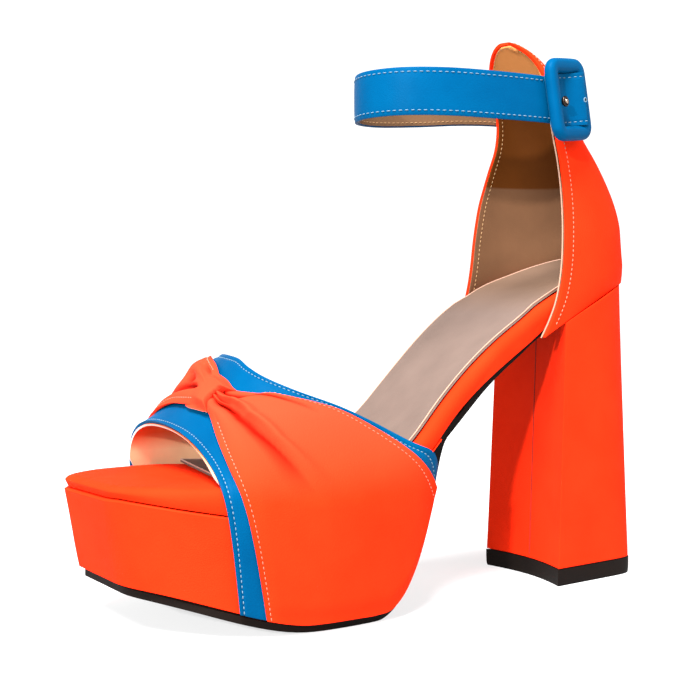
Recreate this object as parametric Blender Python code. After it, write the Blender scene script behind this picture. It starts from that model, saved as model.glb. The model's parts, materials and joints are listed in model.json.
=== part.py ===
"""Left-foot platform sandal with a block heel, a gathered vamp and an ankle strap.

Every number below is in millimetres; make_object() turns the shapes into metres.
The toe points to -X, the outer (lateral) side of the foot is -Y, the inner (medial)
side is +Y and up is +Z. The origin is on the floor, under the middle of the heel.
"""

from collections import namedtuple
from math import cos, pi, radians, sin

import bmesh
import bpy
import numpy as np

MM = 0.001                 # metres in one millimetre
GAP = 0.35                 # clearance between neighbouring pieces
BOARD_THICKNESS = 7.0      # padded and wrapped insole board
SOCK_THICKNESS = 1.0       # lining sheet glued on the board
SOCK_LIFT = 0.6           # and its clearance to it
SOCK_INSET = 3.2           # strip of wrapped board left showing around the sock
OUTSOLE_THICKNESS = 3.0
SHANK_GAP = 0.7            # between the board and the outsole along the shank
PLATFORM_GAP = 0.6         # and between the board and the platform
TOE_TAPER = 5.6            # the platform's toe is this much shorter at the floor
SIDE_TAPER = 3.0           # and its sides lean in this much
COUNTER_WALL = 2.2
COUNTER_FRONT_X = -33.5    # where the heel cup's lower edge begins
SEAT_BACK_ROOM = 1.8       # the cup leans in over the seat this much at the back
BAND_WALL = 2.0            # blue vamp band
OVERLAY_WALL = 1.8         # gathered overlay
OVERLAY_CLEARANCE = 0.8    # between the overlay and the band
GATHER_RISE = 1.3          # how far the gathers stand up at the loop
GATHER_SPREAD = 1.8        # how fast they flatten, in rows of OVERLAY_EDGES
TOP_LIFT = 6.9             # rubber tip of the heel
HEEL_BREAST_X = -22.4      # front face of the heel at the floor
STRAP_WIDTH = 18.5
STRAP_WALL = 2.2

STATIONS_PER_ROW = 2       # cross lines of the sole for each row of PLAN
CROSS_POINTS = 5           # points along each cross line
SEAT_HOLLOW = 2.4          # dish of the heel seat
SOCK_FRONT_LATERAL = 5.3   # where the sock starts, as positions in PLAN
SOCK_FRONT_MEDIAL = 6.2
PLATFORM_LAST_ROW = 11.8
OUTSOLE_REVEAL = 1.2       # the outsole is this much narrower than the board's shank
OUTSOLE_TOE_INSET = 1.8    # and ends this far behind the platform at the toe
HEEL_BREAST_HOLLOW = 4.0   # the breast is hollow between its corners
HEEL_BACK_X = 23.2
HEEL_HALF_WIDTH = 25.0
HEEL_NARROWING = 0.26      # the heel's tip is narrower behind
HEEL_SQUARENESS = 11.0     # superellipse power of the tip's outline
HEEL_FIRST_ROW = {-1: 17.8, 1: 18.2}    # breast corners at the seat, as positions in PLAN
HEEL_MEDIAL_INSET = 2.6    # the heel's inner side is set in under the seat
HEEL_TOP_REFERENCE = 115.0
HEEL_STEPS = 16
CUP_FULLNESS = 2.35
CUP_BACK_Y = 0.3
CUP_SEAT_LAP = 0.4
VAMP_CLEARANCE = 0.45      # between the band's inside and the platform's side
LOOP_WALL = 1.6
LOOP_CLEARANCE = 0.3       # over the gathers
LOOP_HALF_SPAN = 0.95      # half its width, in rows of OVERLAY_EDGES
LOOP_OVERHANG = 0.2        # how far it reaches past the overlay's edges, as a part of its width
LOOP_FLARE = 0.18          # its outer face is this much longer
BUCKLE_X = -26.4
BUCKLE_TILT = 5.0
BUCKLE_WIDTH = 15.6        # to the middle of the bars
BUCKLE_HEIGHT = 27.5
BUCKLE_CORNER = 4.0
BUCKLE_BAR = 5.2
BUCKLE_DEPTH = 4.6
BUCKLE_LIFT = 0.9
STRAP_END_WALL = 1.6
STRAP_END_LIFT = 0.9
STRAP_END_CROWN = 1.2
PRONG_ALONG = -3.7
PRONG_RADIUS = 1.1

PlanRow = namedtuple("PlanRow", "lateral_x lateral_y medial_x medial_y")
PLAN = (                   # outline of the wrapped board seen from above, toe to heel
    PlanRow(-205.6, -4.0, -208.4, 23.0),
    PlanRow(-204.8, -9.0, -208.6, 28.5),
    PlanRow(-202.2, -15.5, -205.9, 33.0),
    PlanRow(-196.1, -23.5, -199.1, 36.4),
    PlanRow(-186.8, -31.2, -189.0, 39.4),
    PlanRow(-174.6, -37.2, -175.6, 42.0),
    PlanRow(-161.0, -41.0, -161.5, 44.0),
    PlanRow(-147.0, -42.8, -147.5, 44.8),
    PlanRow(-133.0, -42.8, -133.5, 44.2),
    PlanRow(-120.0, -41.6, -120.5, 42.2),
    PlanRow(-108.0, -39.4, -108.5, 39.4),
    PlanRow(-97.0, -36.8, -97.5, 36.4),
    PlanRow(-87.0, -34.2, -87.0, 33.2),
    PlanRow(-77.0, -31.6, -77.0, 31.0),
    PlanRow(-66.0, -29.4, -66.0, 29.8),
    PlanRow(-54.0, -27.9, -54.0, 29.4),
    PlanRow(-42.0, -27.4, -42.0, 29.2),
    PlanRow(-30.0, -27.6, -30.0, 28.8),
    PlanRow(-18.0, -28.1, -18.0, 28.6),
    PlanRow(-6.0, -27.6, -6.0, 27.6),
    PlanRow(5.0, -24.9, 5.0, 24.9),
    PlanRow(14.0, -19.4, 14.0, 19.4),
    PlanRow(20.4, -11.8, 20.4, 11.8),
    PlanRow(23.8, -2.6, 23.8, 2.6),
)

FootbedRow = namedtuple("FootbedRow", "x lateral_z medial_z")
FOOTBED = (                # top of the board along its two edges
    FootbedRow(-211.0, 50.6, 50.6),
    FootbedRow(-192.0, 51.6, 51.6),
    FootbedRow(-170.0, 51.4, 51.4),
    FootbedRow(-152.0, 50.4, 50.4),
    FootbedRow(-136.0, 50.0, 50.0),
    FootbedRow(-124.0, 50.6, 50.4),
    FootbedRow(-114.0, 52.6, 52.0),
    FootbedRow(-104.0, 57.2, 55.4),
    FootbedRow(-94.6, 64.0, 59.6),
    FootbedRow(-84.0, 74.0, 68.2),
    FootbedRow(-75.0, 82.0, 78.4),
    FootbedRow(-65.0, 90.2, 89.4),
    FootbedRow(-55.0, 97.6, 99.4),
    FootbedRow(-43.0, 105.6, 109.4),
    FootbedRow(-26.0, 115.8, 120.0),
    FootbedRow(-12.0, 123.0, 125.2),
    FootbedRow(0.0, 128.4, 129.4),
    FootbedRow(12.0, 132.6, 132.9),
    FootbedRow(26.0, 135.4, 135.4),
)

TreadRow = namedtuple("TreadRow", "x z")
TREAD = (                  # underside of the outsole, toe to heel breast
    TreadRow(-204.0, 13.8),
    TreadRow(-191.0, 11.8),
    TreadRow(-178.0, 8.6),
    TreadRow(-166.0, 5.0),
    TreadRow(-155.0, 2.0),
    TreadRow(-146.0, 0.4),
    TreadRow(-142.0, 0.0),
    TreadRow(-128.0, 0.0),
    TreadRow(-114.0, 0.0),
    TreadRow(-109.6, 1.0),
    TreadRow(-104.0, 4.6),
    TreadRow(-98.6, 12.0),
    TreadRow(-93.6, 22.0),
    TreadRow(-89.2, 34.0),
    TreadRow(-86.0, 45.0),
    TreadRow(-83.4, 55.0),
)


SHANK_TOP_X = (-89.0, -84.0, -76.0, -66.0, -54.0, -42.0, -30.0, -18.0, -6.0, 6.0, 18.0, 32.0)


def smooth(xs, ys, x):
    """Monotone cubic through the knots (xs, ys), read at x and straight outside them."""
    xs = np.asarray(xs, float)
    ys = np.asarray(ys, float)
    step = np.diff(xs)
    slope = np.diff(ys) / step
    tangent = np.zeros_like(ys)
    tangent[0] = slope[0]
    tangent[-1] = slope[-1]
    for k in range(1, len(xs) - 1):
        if slope[k - 1] * slope[k] > 0:
            before = 2 * step[k] + step[k - 1]
            after = step[k] + 2 * step[k - 1]
            tangent[k] = (before + after) / (before / slope[k - 1] + after / slope[k])
    x = np.asarray(x, float)
    i = np.clip(np.searchsorted(xs, x) - 1, 0, len(step) - 1)
    t = (x - xs[i]) / step[i]
    s = np.clip(t, 0, 1)
    value = ys[i] * (2 * s**3 - 3 * s**2 + 1) + ys[i + 1] * (3 * s**2 - 2 * s**3)
    value = value + tangent[i] * step[i] * (s**3 - 2 * s**2 + s)
    value = value + tangent[i + 1] * step[i] * (s**3 - s**2)
    value = value + np.minimum(t, 0) * step[i] * tangent[i]
    return value + np.maximum(t - 1, 0) * step[i] * tangent[i + 1]


def table(rows, x_name, y_name, x):
    """Smooth value of column y_name against column x_name of a table of rows."""
    xs = [getattr(row, x_name) for row in rows]
    ys = [getattr(row, y_name) for row in rows]
    return smooth(xs, ys, x)


def through(points, count):
    """Catmull-Rom curve through the points, sampled at count even parameter steps."""
    points = np.asarray(points, float)
    ends = (2 * points[0] - points[1], 2 * points[-1] - points[-2])
    knots = np.vstack((ends[0], points, ends[1]))
    at = np.linspace(0, len(points) - 1, count)
    i = np.minimum(at.astype(int), len(points) - 2)
    t = (at - i)[:, None]
    a, b, c, d = knots[i], knots[i + 1], knots[i + 2], knots[i + 3]
    return 0.5 * (
        2 * b + (c - a) * t + (2 * a - 5 * b + 4 * c - d) * t**2
        + (3 * b - a - 3 * c + d) * t**3
    )


# ---------------------------------------------------------------- plan and heights

LATERAL = -1
MEDIAL = 1
SIDE_NAME = {LATERAL: "lateral", MEDIAL: "medial"}


def row_positions(first, last):
    """Stations as positions in PLAN, closer together where the platform's back rises."""
    even = np.linspace(first, last, int(round((last - first) * STATIONS_PER_ROW)) + 1)
    steep = np.arange(9.75, 13.0, 0.5)
    return np.union1d(even, steep[(steep > first) & (steep < last)])


def outline(side, positions, inset=0.0):
    """Board outline (x, y) at positions in PLAN, moved inward by inset."""
    name = SIDE_NAME[side]
    points = [(getattr(row, name + "_x"), getattr(row, name + "_y")) for row in PLAN]
    fine = through(points, 40 * (len(PLAN) - 1) + 1)
    at = np.linspace(0, len(PLAN) - 1, len(fine))
    tangent = np.gradient(fine, axis=0)
    tangent /= np.linalg.norm(tangent, axis=1)[:, None]
    outward = np.column_stack((-tangent[:, 1], tangent[:, 0])) * side
    x = np.interp(positions, at, fine[:, 0] - inset * outward[:, 0])
    y = np.interp(positions, at, fine[:, 1] - inset * outward[:, 1])
    return np.column_stack((x, y))


def plan_y(side, x):
    """Distance of the board's edge from the long axis at x, behind the toe."""
    points = outline(side, np.linspace(1, len(PLAN) - 1, 300))
    return np.interp(x, points[:, 0], np.abs(points[:, 1]))


def edge_z(side, x):
    """Height of the top of the board along one edge."""
    return table(FOOTBED, "x", SIDE_NAME[side] + "_z", x)


def edge_angle(side, x):
    """Slope of the board along one edge, as an angle."""
    rise = edge_z(side, np.asarray(x) + 0.5) - edge_z(side, np.asarray(x) - 0.5)
    return np.arctan(rise)


def seat_inset(x):
    """Room that the board leaves for the heel cup around the seat."""
    t = np.clip((x - (COUNTER_FRONT_X - 5.0)) / 4.0, 0, 1)
    back = np.clip((x + 30.0) / 34.0, 0, 1)
    return (COUNTER_WALL + GAP) * (3 * t**2 - 2 * t**3) + SEAT_BACK_ROOM * back


def board_rail(side, positions, inset, depth):
    """Line along the board: inset from its outline, depth below its top."""
    edge = outline(side, positions)
    inner = outline(side, positions, 1.0)
    inward = inner - edge
    xy = edge + inward * (inset + seat_inset(edge[:, 0]))[:, None]
    angle = edge_angle(side, xy[:, 0])
    x = xy[:, 0] + depth * np.sin(angle)
    z = edge_z(side, xy[:, 0]) - depth * np.cos(angle)
    return np.column_stack((x, xy[:, 1], z))


def board_under_z(side, x):
    """Height of the underside of the board at x along one edge."""
    top_x = np.linspace(-215, 40, 800)
    angle = edge_angle(side, top_x)
    under_x = top_x + BOARD_THICKNESS * np.sin(angle)
    under_z = edge_z(side, top_x) - BOARD_THICKNESS * np.cos(angle)
    return np.interp(x, under_x, under_z)


def tread_curve(side):
    """Underside of the outsole from toe to heel back along one side, as (x, z)."""
    front = [(row.x, row.z) for row in TREAD]
    top_x = np.array(SHANK_TOP_X)
    angle = edge_angle(side, top_x)
    depth = BOARD_THICKNESS + OUTSOLE_THICKNESS + SHANK_GAP
    under_x = top_x + depth * np.sin(angle)
    under_z = edge_z(side, top_x) - depth * np.cos(angle)
    curve = through(front + list(zip(under_x, under_z)), 500)
    curve[:, 1] = np.maximum(curve[:, 1], 0.0)
    return curve


def tread_z(side, x):
    """Height of the underside of the outsole at x."""
    curve = tread_curve(side)
    return np.interp(x, curve[:, 0], curve[:, 1])


def outsole_top_z(side, x):
    """Height of the upper face of the outsole at x."""
    curve = tread_curve(side)
    tangent = np.gradient(curve, axis=0)
    tangent /= np.linalg.norm(tangent, axis=1)[:, None]
    top_x = curve[:, 0] - OUTSOLE_THICKNESS * tangent[:, 1]
    top_z = curve[:, 1] + OUTSOLE_THICKNESS * tangent[:, 0]
    return np.interp(x, top_x, top_z)


def floor_taper(x):
    """How far the platform leans in between its top and the outsole."""
    t = np.clip((x + 192.0) / 24.0, 0, 1)
    return TOE_TAPER + (SIDE_TAPER - TOE_TAPER) * (3 * t**2 - 2 * t**3)


def outsole_rail(side, positions, inset, lift):
    """Line along the outsole: inset from its edge, lift above its underside."""
    edge = outline(side, positions)
    inner = outline(side, positions, 1.0)
    under_board = np.clip((edge[:, 0] + 80.0) / 12.0, 0, 1)
    taper = floor_taper(edge[:, 0]) * (1 - under_board) + OUTSOLE_REVEAL * under_board
    xy = edge + (inner - edge) * (inset + taper + seat_inset(edge[:, 0]))[:, None]
    xy[:, 0] += OUTSOLE_TOE_INSET * np.clip((-170.0 - edge[:, 0]) / 30.0, 0, 1)
    z = tread_z(side, xy[:, 0])
    slope = (tread_z(side, xy[:, 0] + 0.4) - tread_z(side, xy[:, 0] - 0.4)) / 0.8
    angle = np.arctan(slope)
    return np.column_stack((xy[:, 0] - lift * np.sin(angle), xy[:, 1], z + lift * np.cos(angle)))


# ---------------------------------------------------------------- building bodies

def make_object(name, vertices, faces, material, sharp_angle=40.0):
    """Closed mesh object from millimetre vertices, with its faces pointing out."""
    mesh = bpy.data.meshes.new(name)
    mesh.from_pydata([tuple(float(c) * MM for c in v) for v in vertices], [], faces)
    builder = bmesh.new()
    builder.from_mesh(mesh)
    bmesh.ops.remove_doubles(builder, verts=builder.verts, dist=0.00001)
    bmesh.ops.recalc_face_normals(builder, faces=builder.faces)
    builder.to_mesh(mesh)
    builder.free()
    mesh.shade_smooth()
    mesh.set_sharp_from_angle(angle=radians(sharp_angle))
    mesh.materials.append(material)
    made = bpy.data.objects.new(name, mesh)
    bpy.context.scene.collection.objects.link(made)
    return made


def principled(name, colour, roughness, metallic=0.0):
    """Material with one Principled surface."""
    material = bpy.data.materials.new(name)
    material.use_nodes = True
    surface = material.node_tree.nodes["Principled BSDF"]
    surface.inputs["Base Color"].default_value = (*colour, 1.0)
    surface.inputs["Roughness"].default_value = roughness
    surface.inputs["Metallic"].default_value = metallic
    material.diffuse_color = (*colour, 1.0)
    return material


def grid_faces(rows, columns, first=0):
    """Quads of a grid whose vertices run row by row from index first."""
    faces = []
    for r in range(rows - 1):
        for c in range(columns - 1):
            corner = first + r * columns + c
            faces.append((corner, corner + 1, corner + columns + 1, corner + columns))
    return faces


def cross_grid(lateral, medial, bow=0.0, sag=0.0):
    """Points across from the lateral to the medial rail.

    bow moves the middle of the first cross line back; sag lowers the middle of all.
    """
    across = np.linspace(0, 1, CROSS_POINTS)
    grid = lateral[:, None] * (1 - across)[None, :, None]
    grid = grid + medial[:, None] * across[None, :, None]
    hump = 4 * across * (1 - across)
    fade = np.linspace(1, 0, len(lateral)) ** 3
    grid[:, :, 0] += bow * fade[:, None] * hump[None, :]
    grid[:, :, 2] -= np.broadcast_to(sag, len(lateral))[:, None] * hump[None, :]
    return grid


def rim_indices(rows, columns):
    """Indices of a grid's border, in order around it."""
    toe = [c for c in range(columns)]
    medial = [r * columns + columns - 1 for r in range(1, rows)]
    back = [(rows - 1) * columns + c for c in range(columns - 2, -1, -1)]
    lateral = [r * columns for r in range(rows - 2, 0, -1)]
    return toe + medial + back + lateral


def slab(grids):
    """Closed body between a top grid and a bottom grid through the rims between them."""
    rows, columns = grids[0].shape[:2]
    rim = rim_indices(rows, columns)
    top = grids[0].reshape(-1, 3)
    bottom = grids[-1].reshape(-1, 3)
    vertices = list(top) + list(bottom)
    faces = [face[::-1] for face in grid_faces(rows, columns)]
    faces += grid_faces(rows, columns, len(top))
    loops = [list(rim)]
    for grid in grids[1:-1]:
        start = len(vertices)
        flat = grid.reshape(-1, 3)
        vertices += [flat[i] for i in rim]
        loops.append([start + i for i in range(len(rim))])
    loops.append([len(top) + i for i in rim])
    for upper, lower in zip(loops, loops[1:]):
        for i in range(len(rim)):
            j = (i + 1) % len(rim)
            faces.append((upper[i], upper[j], lower[j], lower[i]))
    return vertices, faces


def shell(outer, inner):
    """Closed wall between two grids of the same size, joined around their borders."""
    rows, columns = outer.shape[:2]
    rim = rim_indices(rows, columns)
    count = rows * columns
    vertices = list(outer.reshape(-1, 3)) + list(inner.reshape(-1, 3))
    faces = grid_faces(rows, columns)
    faces += [face[::-1] for face in grid_faces(rows, columns, count)]
    for i, here in enumerate(rim):
        there = rim[(i + 1) % len(rim)]
        faces.append((there, here, here + count, there + count))
    return vertices, faces


def grid_normals(grid):
    """Unit normals of a grid surface at its points."""
    along = np.gradient(grid, axis=0)
    across = np.gradient(grid, axis=1)
    normal = np.cross(along, across)
    return normal / np.linalg.norm(normal, axis=2)[:, :, None]


# ---------------------------------------------------------------- sole pieces

BoardRing = namedtuple("BoardRing", "inset depth")
BOARD_RINGS = (            # rounded, padded edge of the board from its top down
    BoardRing(3.2, 0.0),
    BoardRing(1.4, 0.5),
    BoardRing(0.3, 2.0),
    BoardRing(0.0, 4.2),
    BoardRing(1.0, BOARD_THICKNESS),
)


def seat_sag(x):
    """Hollow of the footbed across the heel seat; it ends before the back."""
    t = np.clip((x + 45.0) / 40.0, 0, 1)
    back = np.clip((19.0 - x) / 18.0, 0, 1)
    return SEAT_HOLLOW * (3 * t**2 - 2 * t**3) * back


def board_body():
    """Insole board, padded and wrapped, from the toe to the back of the heel."""
    positions = row_positions(0, len(PLAN) - 1)
    grids = []
    for ring in BOARD_RINGS:
        rails = [board_rail(side, positions, ring.inset, ring.depth) for side in (LATERAL, MEDIAL)]
        grids.append(cross_grid(*rails, sag=seat_sag(rails[0][:, 0])))
    return slab(grids)


def sock_body():
    """Lining sheet on the board, cut off obliquely behind the toe."""
    last = len(PLAN) - 1
    grids = []
    for inset, depth in ((SOCK_INSET + 0.3, -SOCK_LIFT - SOCK_THICKNESS), (SOCK_INSET, -SOCK_LIFT)):
        rails = []
        for side, first in ((LATERAL, SOCK_FRONT_LATERAL), (MEDIAL, SOCK_FRONT_MEDIAL)):
            positions = first + (last - first) * np.linspace(0, 1, 44)
            rails.append(board_rail(side, positions, inset, depth))
        grids.append(cross_grid(*rails, sag=seat_sag(rails[0][:, 0])))
    return slab(grids)


def platform_body():
    """Wrapped platform between the board and the outsole, under the forefoot."""
    positions = row_positions(0, PLATFORM_LAST_ROW)
    grids = []
    depth = BOARD_THICKNESS + PLATFORM_GAP
    top = [board_rail(side, positions, 0.5, depth) for side in (LATERAL, MEDIAL)]
    grids.append(cross_grid(*top))
    for fall in (0.02, 0.35, 0.7, 1.0):
        rails = []
        for side, roof in zip((LATERAL, MEDIAL), top):
            edge = outline(side, positions)
            inner = outline(side, positions, 1.0)
            foot = edge + (inner - edge) * (floor_taper(edge[:, 0]) * fall)[:, None]
            low = outsole_top_z(side, foot[:, 0]) + GAP
            high = np.maximum(board_under_z(side, foot[:, 0]) - GAP / cos(radians(45)), low + 0.6)
            z = high + (low - high) * fall
            rails.append(np.column_stack((foot, z)))
        grids.append(cross_grid(*rails))
    return slab(grids)


def outsole_body():
    """Rubber outsole: under the platform, up its back and along the shank to the seat."""
    positions = row_positions(0, len(PLAN) - 1)
    grids = []
    for inset, lift in ((0.5, OUTSOLE_THICKNESS), (0.0, OUTSOLE_THICKNESS - 0.6), (0.3, 0.0)):
        rails = [outsole_rail(side, positions, inset, lift) for side in (LATERAL, MEDIAL)]
        grids.append(cross_grid(*rails, sag=seat_sag(rails[0][:, 0])))
    return slab(grids)


# ---------------------------------------------------------------- heel

def heel_rail(side, height):
    """Half outline of the heel block at one height, from breast corner to back."""
    angle = np.linspace(0, 1, HEEL_STEPS) * radians(88)
    along = np.sin(angle) ** (2 / HEEL_SQUARENESS)
    x = HEEL_BREAST_X + (HEEL_BACK_X - HEEL_BREAST_X) * along
    y = HEEL_HALF_WIDTH * np.cos(angle) ** (2 / HEEL_SQUARENESS) * (1 - HEEL_NARROWING * along)
    floor = np.column_stack((x, side * y))
    seat = outline(side, np.linspace(HEEL_FIRST_ROW[side], len(PLAN) - 1, HEEL_STEPS))
    if side == MEDIAL:
        seat[:, 1] -= HEEL_MEDIAL_INSET * (1 - along)
    up = np.clip(np.asarray(height, float) / HEEL_TOP_REFERENCE, 0, 1) * np.ones(HEEL_STEPS)
    flat = floor + (seat - floor) * up[:, None]
    return np.column_stack((flat, height * np.ones(HEEL_STEPS)))


def heel_top_z(side, x):
    """Top of the heel block: it lies under the outsole's seat."""
    under = tread_z(side, x)
    return under - GAP / cos(radians(27))


def heel_body():
    """Block heel with a hollowed breast; its top is cut to the seat."""
    foot = TOP_LIFT + GAP
    grids = []
    for fraction in np.linspace(1, 0, 7):
        rails = []
        for side in (LATERAL, MEDIAL):
            rail = heel_rail(side, HEEL_TOP_REFERENCE)
            for _ in range(5):
                level = foot + (heel_top_z(side, rail[:, 0]) - foot) * fraction
                rail = heel_rail(side, level)
            rails.append(rail)
        sag = seat_sag(rails[0][:, 0]) * fraction
        grids.append(cross_grid(*rails, bow=HEEL_BREAST_HOLLOW, sag=sag))
    return slab(grids)


def top_lift_body():
    """Rubber tip of the heel, standing flat on the floor."""
    grids = []
    for height, inset in ((TOP_LIFT, 0.0), (0.8, 0.0), (0.0, 0.5)):
        rails = []
        for side in (LATERAL, MEDIAL):
            rail = heel_rail(side, 0.0)
            rail[:, :2] *= 1 - inset / HEEL_HALF_WIDTH
            rail[:, 2] = height
            rails.append(rail)
        grids.append(cross_grid(*rails, bow=HEEL_BREAST_HOLLOW))
    return slab(grids)


# ---------------------------------------------------------------- heel cup

CupRow = namedtuple("CupRow", "lateral_x lateral_y lateral_z back_x back_z medial_x medial_y medial_z")
CUP = (                    # levels of the heel cup: its two front edges and its back
    CupRow(-31.0, -27.6, 103.0, 24.4, 124.0, -34.0, 30.3, 107.0),
    CupRow(-25.0, -28.2, 114.0, 23.6, 131.0, -31.0, 30.0, 116.0),
    CupRow(-21.8, -28.4, 127.0, 22.2, 139.0, -29.0, 28.6, 127.0),
    CupRow(-20.6, -28.0, 142.0, 21.2, 148.0, -27.4, 28.2, 141.0),
    CupRow(-20.6, -27.2, 157.0, 17.8, 158.0, -25.2, 27.4, 156.0),
    CupRow(-21.4, -25.8, 171.0, 11.2, 170.5, -21.6, 26.2, 169.5),
    CupRow(-22.6, -23.6, 184.0, 2.6, 184.0, -18.0, 24.2, 184.0),
    CupRow(-22.2, -20.0, 197.0, -5.6, 197.0, -20.0, 21.4, 197.0),
    CupRow(-22.6, -15.6, 208.0, -13.4, 208.5, -26.0, 17.4, 208.0),
    CupRow(-24.8, -10.4, 216.0, -20.6, 216.6, -29.6, 12.4, 216.0),
    CupRow(-28.0, -5.0, 220.8, -26.4, 221.6, -31.2, 7.2, 221.0),
    CupRow(-29.6, -1.0, 222.8, -29.2, 223.2, -31.0, 3.0, 223.0),
)


def cup_grid(levels, around):
    """Outer surface of the heel cup: rows go up, columns go around from lateral."""
    columns = {}
    rows_at = np.linspace(0, len(CUP) - 1, levels)
    for field in CupRow._fields:
        values = np.array([[getattr(row, field)] for row in CUP])
        columns[field] = through(values, levels)[:, 0]
    turn = np.linspace(-1, 1, around) * pi / 2
    power = 2 / CUP_FULLNESS
    forward = np.cos(turn) ** power
    forward[[0, -1]] = 0.0
    sideways = np.sign(turn) * np.abs(np.sin(turn)) ** power
    grid = np.zeros((levels, around, 3))
    for r in range(levels):
        lateral = np.array([columns["lateral_" + axis][r] for axis in "xyz"])
        medial = np.array([columns["medial_" + axis][r] for axis in "xyz"])
        back = np.array((columns["back_x"][r], CUP_BACK_Y, columns["back_z"][r]))
        middle = (lateral + medial) / 2
        edge = np.where((sideways < 0)[:, None], middle - lateral, medial - middle)
        grid[r] = middle + (back - middle) * forward[:, None] + edge * sideways[:, None]
    seat = np.clip(1 - rows_at / 2.0, 0, 1)
    for c in range(around):
        side = LATERAL if turn[c] < 0 else MEDIAL
        wanted = heel_top_z(side, grid[:, c, 0]) + CUP_SEAT_LAP
        grid[:, c, 2] += (wanted[0] - grid[0, c, 2]) * seat
    return grid


def cup_body():
    """Heel cup with its forward-leaning tab, one hollow wall."""
    outer = cup_grid(20, 21)
    outward = -grid_normals(outer)
    inner = outer - outward * COUNTER_WALL
    return shell(outer, inner)


# ---------------------------------------------------------------- vamp

ArchRow = namedtuple("ArchRow", "x crown_y crown_z lateral_angle medial_angle")
ARCH = (                   # cross sections of the vamp's inside over the foot
    ArchRow(-182.0, 27.0, 65.5, 14.0, 106.0),
    ArchRow(-174.0, 25.0, 69.0, 22.0, 104.0),
    ArchRow(-166.0, 19.0, 75.8, 40.0, 102.0),
    ArchRow(-158.0, 13.0, 83.8, 52.0, 98.0),
    ArchRow(-150.0, 10.0, 92.4, 58.0, 92.0),
    ArchRow(-140.0, 6.0, 97.0, 60.0, 88.0),
    ArchRow(-126.0, 3.0, 101.0, 62.0, 84.0),
    ArchRow(-112.0, 1.0, 105.0, 68.0, 80.0),
    ArchRow(-98.0, 0.0, 110.0, 76.0, 80.0),
    ArchRow(-84.0, 0.0, 116.0, 82.0, 82.0),
)
ARCH_PULLS = {             # curve handles of each side of the arch, at its foot and crown
    LATERAL: (0.34, 0.36),
    MEDIAL: (0.54, 0.52),
}
WALL_POINTS = 4            # section points on the platform's side
RIM_POINTS = 3             # around the board's edge
FLANK_POINTS = 8           # from the edge up to the crown
HALF_SECTION = WALL_POINTS + RIM_POINTS + FLANK_POINTS
SECTION_POINTS = 2 * HALF_SECTION - 1


def half_section(side, x):
    """Inside of the vamp at x from the platform's foot up to the crown, as (y, z)."""
    under = float(board_under_z(side, x))
    top = float(edge_z(side, x))
    angle = float(edge_angle(side, x))
    edge = float(plan_y(side, x - 0.8 * BOARD_THICKNESS * sin(angle)))
    low = float(outsole_top_z(side, x)) + 2 * GAP
    under = max(under, low + 1.0)
    taper = float(floor_taper(x))
    points = []
    for rise in np.linspace(0, 1, WALL_POINTS):
        points.append((edge - taper * (1 - rise) + VAMP_CLEARANCE, low + (under - low) * rise))
    points.append((edge + VAMP_CLEARANCE, under + (top - under) * 0.5))
    points.append((edge - 0.1 + VAMP_CLEARANCE, top - 1.2 / cos(angle)))
    points.append((edge - 1.4, top + 0.9 / cos(angle)))
    crown = np.array((table(ARCH, "x", "crown_y", x) * side, table(ARCH, "x", "crown_z", x)))
    tilt = radians(float(table(ARCH, "x", SIDE_NAME[side] + "_angle", x)))
    start = np.array(points[-1])
    reach = np.linalg.norm(crown - start)
    flank, top_pull = ARCH_PULLS[side]
    first = start + flank * reach * np.array((-cos(tilt), sin(tilt)))
    second = crown + top_pull * reach * np.array((1.0, 0.0))
    for t in np.linspace(0, 1, FLANK_POINTS + 1)[1:]:
        weights = ((1 - t) ** 3, 3 * t * (1 - t) ** 2, 3 * t * t * (1 - t), t**3)
        point = sum(w * p for w, p in zip(weights, (start, first, second, crown)))
        points.append(tuple(point))
    return np.array([(side * y, z) for y, z in points])


SECTION_X = np.arange(-184.0, -81.9, 3.0)


def vamp_sections():
    """Sections of the vamp at SECTION_X: from lateral foot over the crown to medial foot."""
    sections = []
    for x in SECTION_X:
        lateral = half_section(LATERAL, x)
        medial = half_section(MEDIAL, x)
        sections.append(np.vstack((lateral, medial[-2::-1])))
    return np.array(sections)


def vamp_point(sections, x, row):
    """Point of the vamp's inside at x on a (fractional) section row."""
    lower = int(min(max(row, 0), SECTION_POINTS - 1.0001))
    part = row - lower
    line = sections[:, lower] * (1 - part) + sections[:, lower + 1] * part
    y = np.interp(x, SECTION_X, line[:, 0])
    z = np.interp(x, SECTION_X, line[:, 1])
    return np.array((x, y, z))


EdgeRow = namedtuple("EdgeRow", "row front_x back_x")
BAND_EDGES = (             # front and back edge of the blue band on the section rows
    EdgeRow(0.0, -167.2, -87.6),
    EdgeRow(2.0, -170.2, -88.2),
    EdgeRow(3.5, -172.6, -90.4),
    EdgeRow(5.0, -174.0, -96.0),
    EdgeRow(6.0, -173.8, -100.0),
    EdgeRow(7.0, -172.8, -104.0),
    EdgeRow(8.0, -172.4, -113.0),
    EdgeRow(9.0, -172.4, -125.0),
    EdgeRow(10.0, -172.6, -139.0),
    EdgeRow(11.0, -173.2, -146.6),
    EdgeRow(12.0, -174.0, -149.2),
    EdgeRow(14.0, -175.4, -149.4),
    EdgeRow(16.0, -176.8, -146.0),
    EdgeRow(18.0, -177.8, -136.0),
    EdgeRow(20.0, -178.6, -118.0),
    EdgeRow(22.0, -178.6, -100.0),
    EdgeRow(24.0, -177.6, -92.0),
    EdgeRow(26.0, -174.6, -88.2),
    EdgeRow(28.0, -171.0, -87.6),
)

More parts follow.
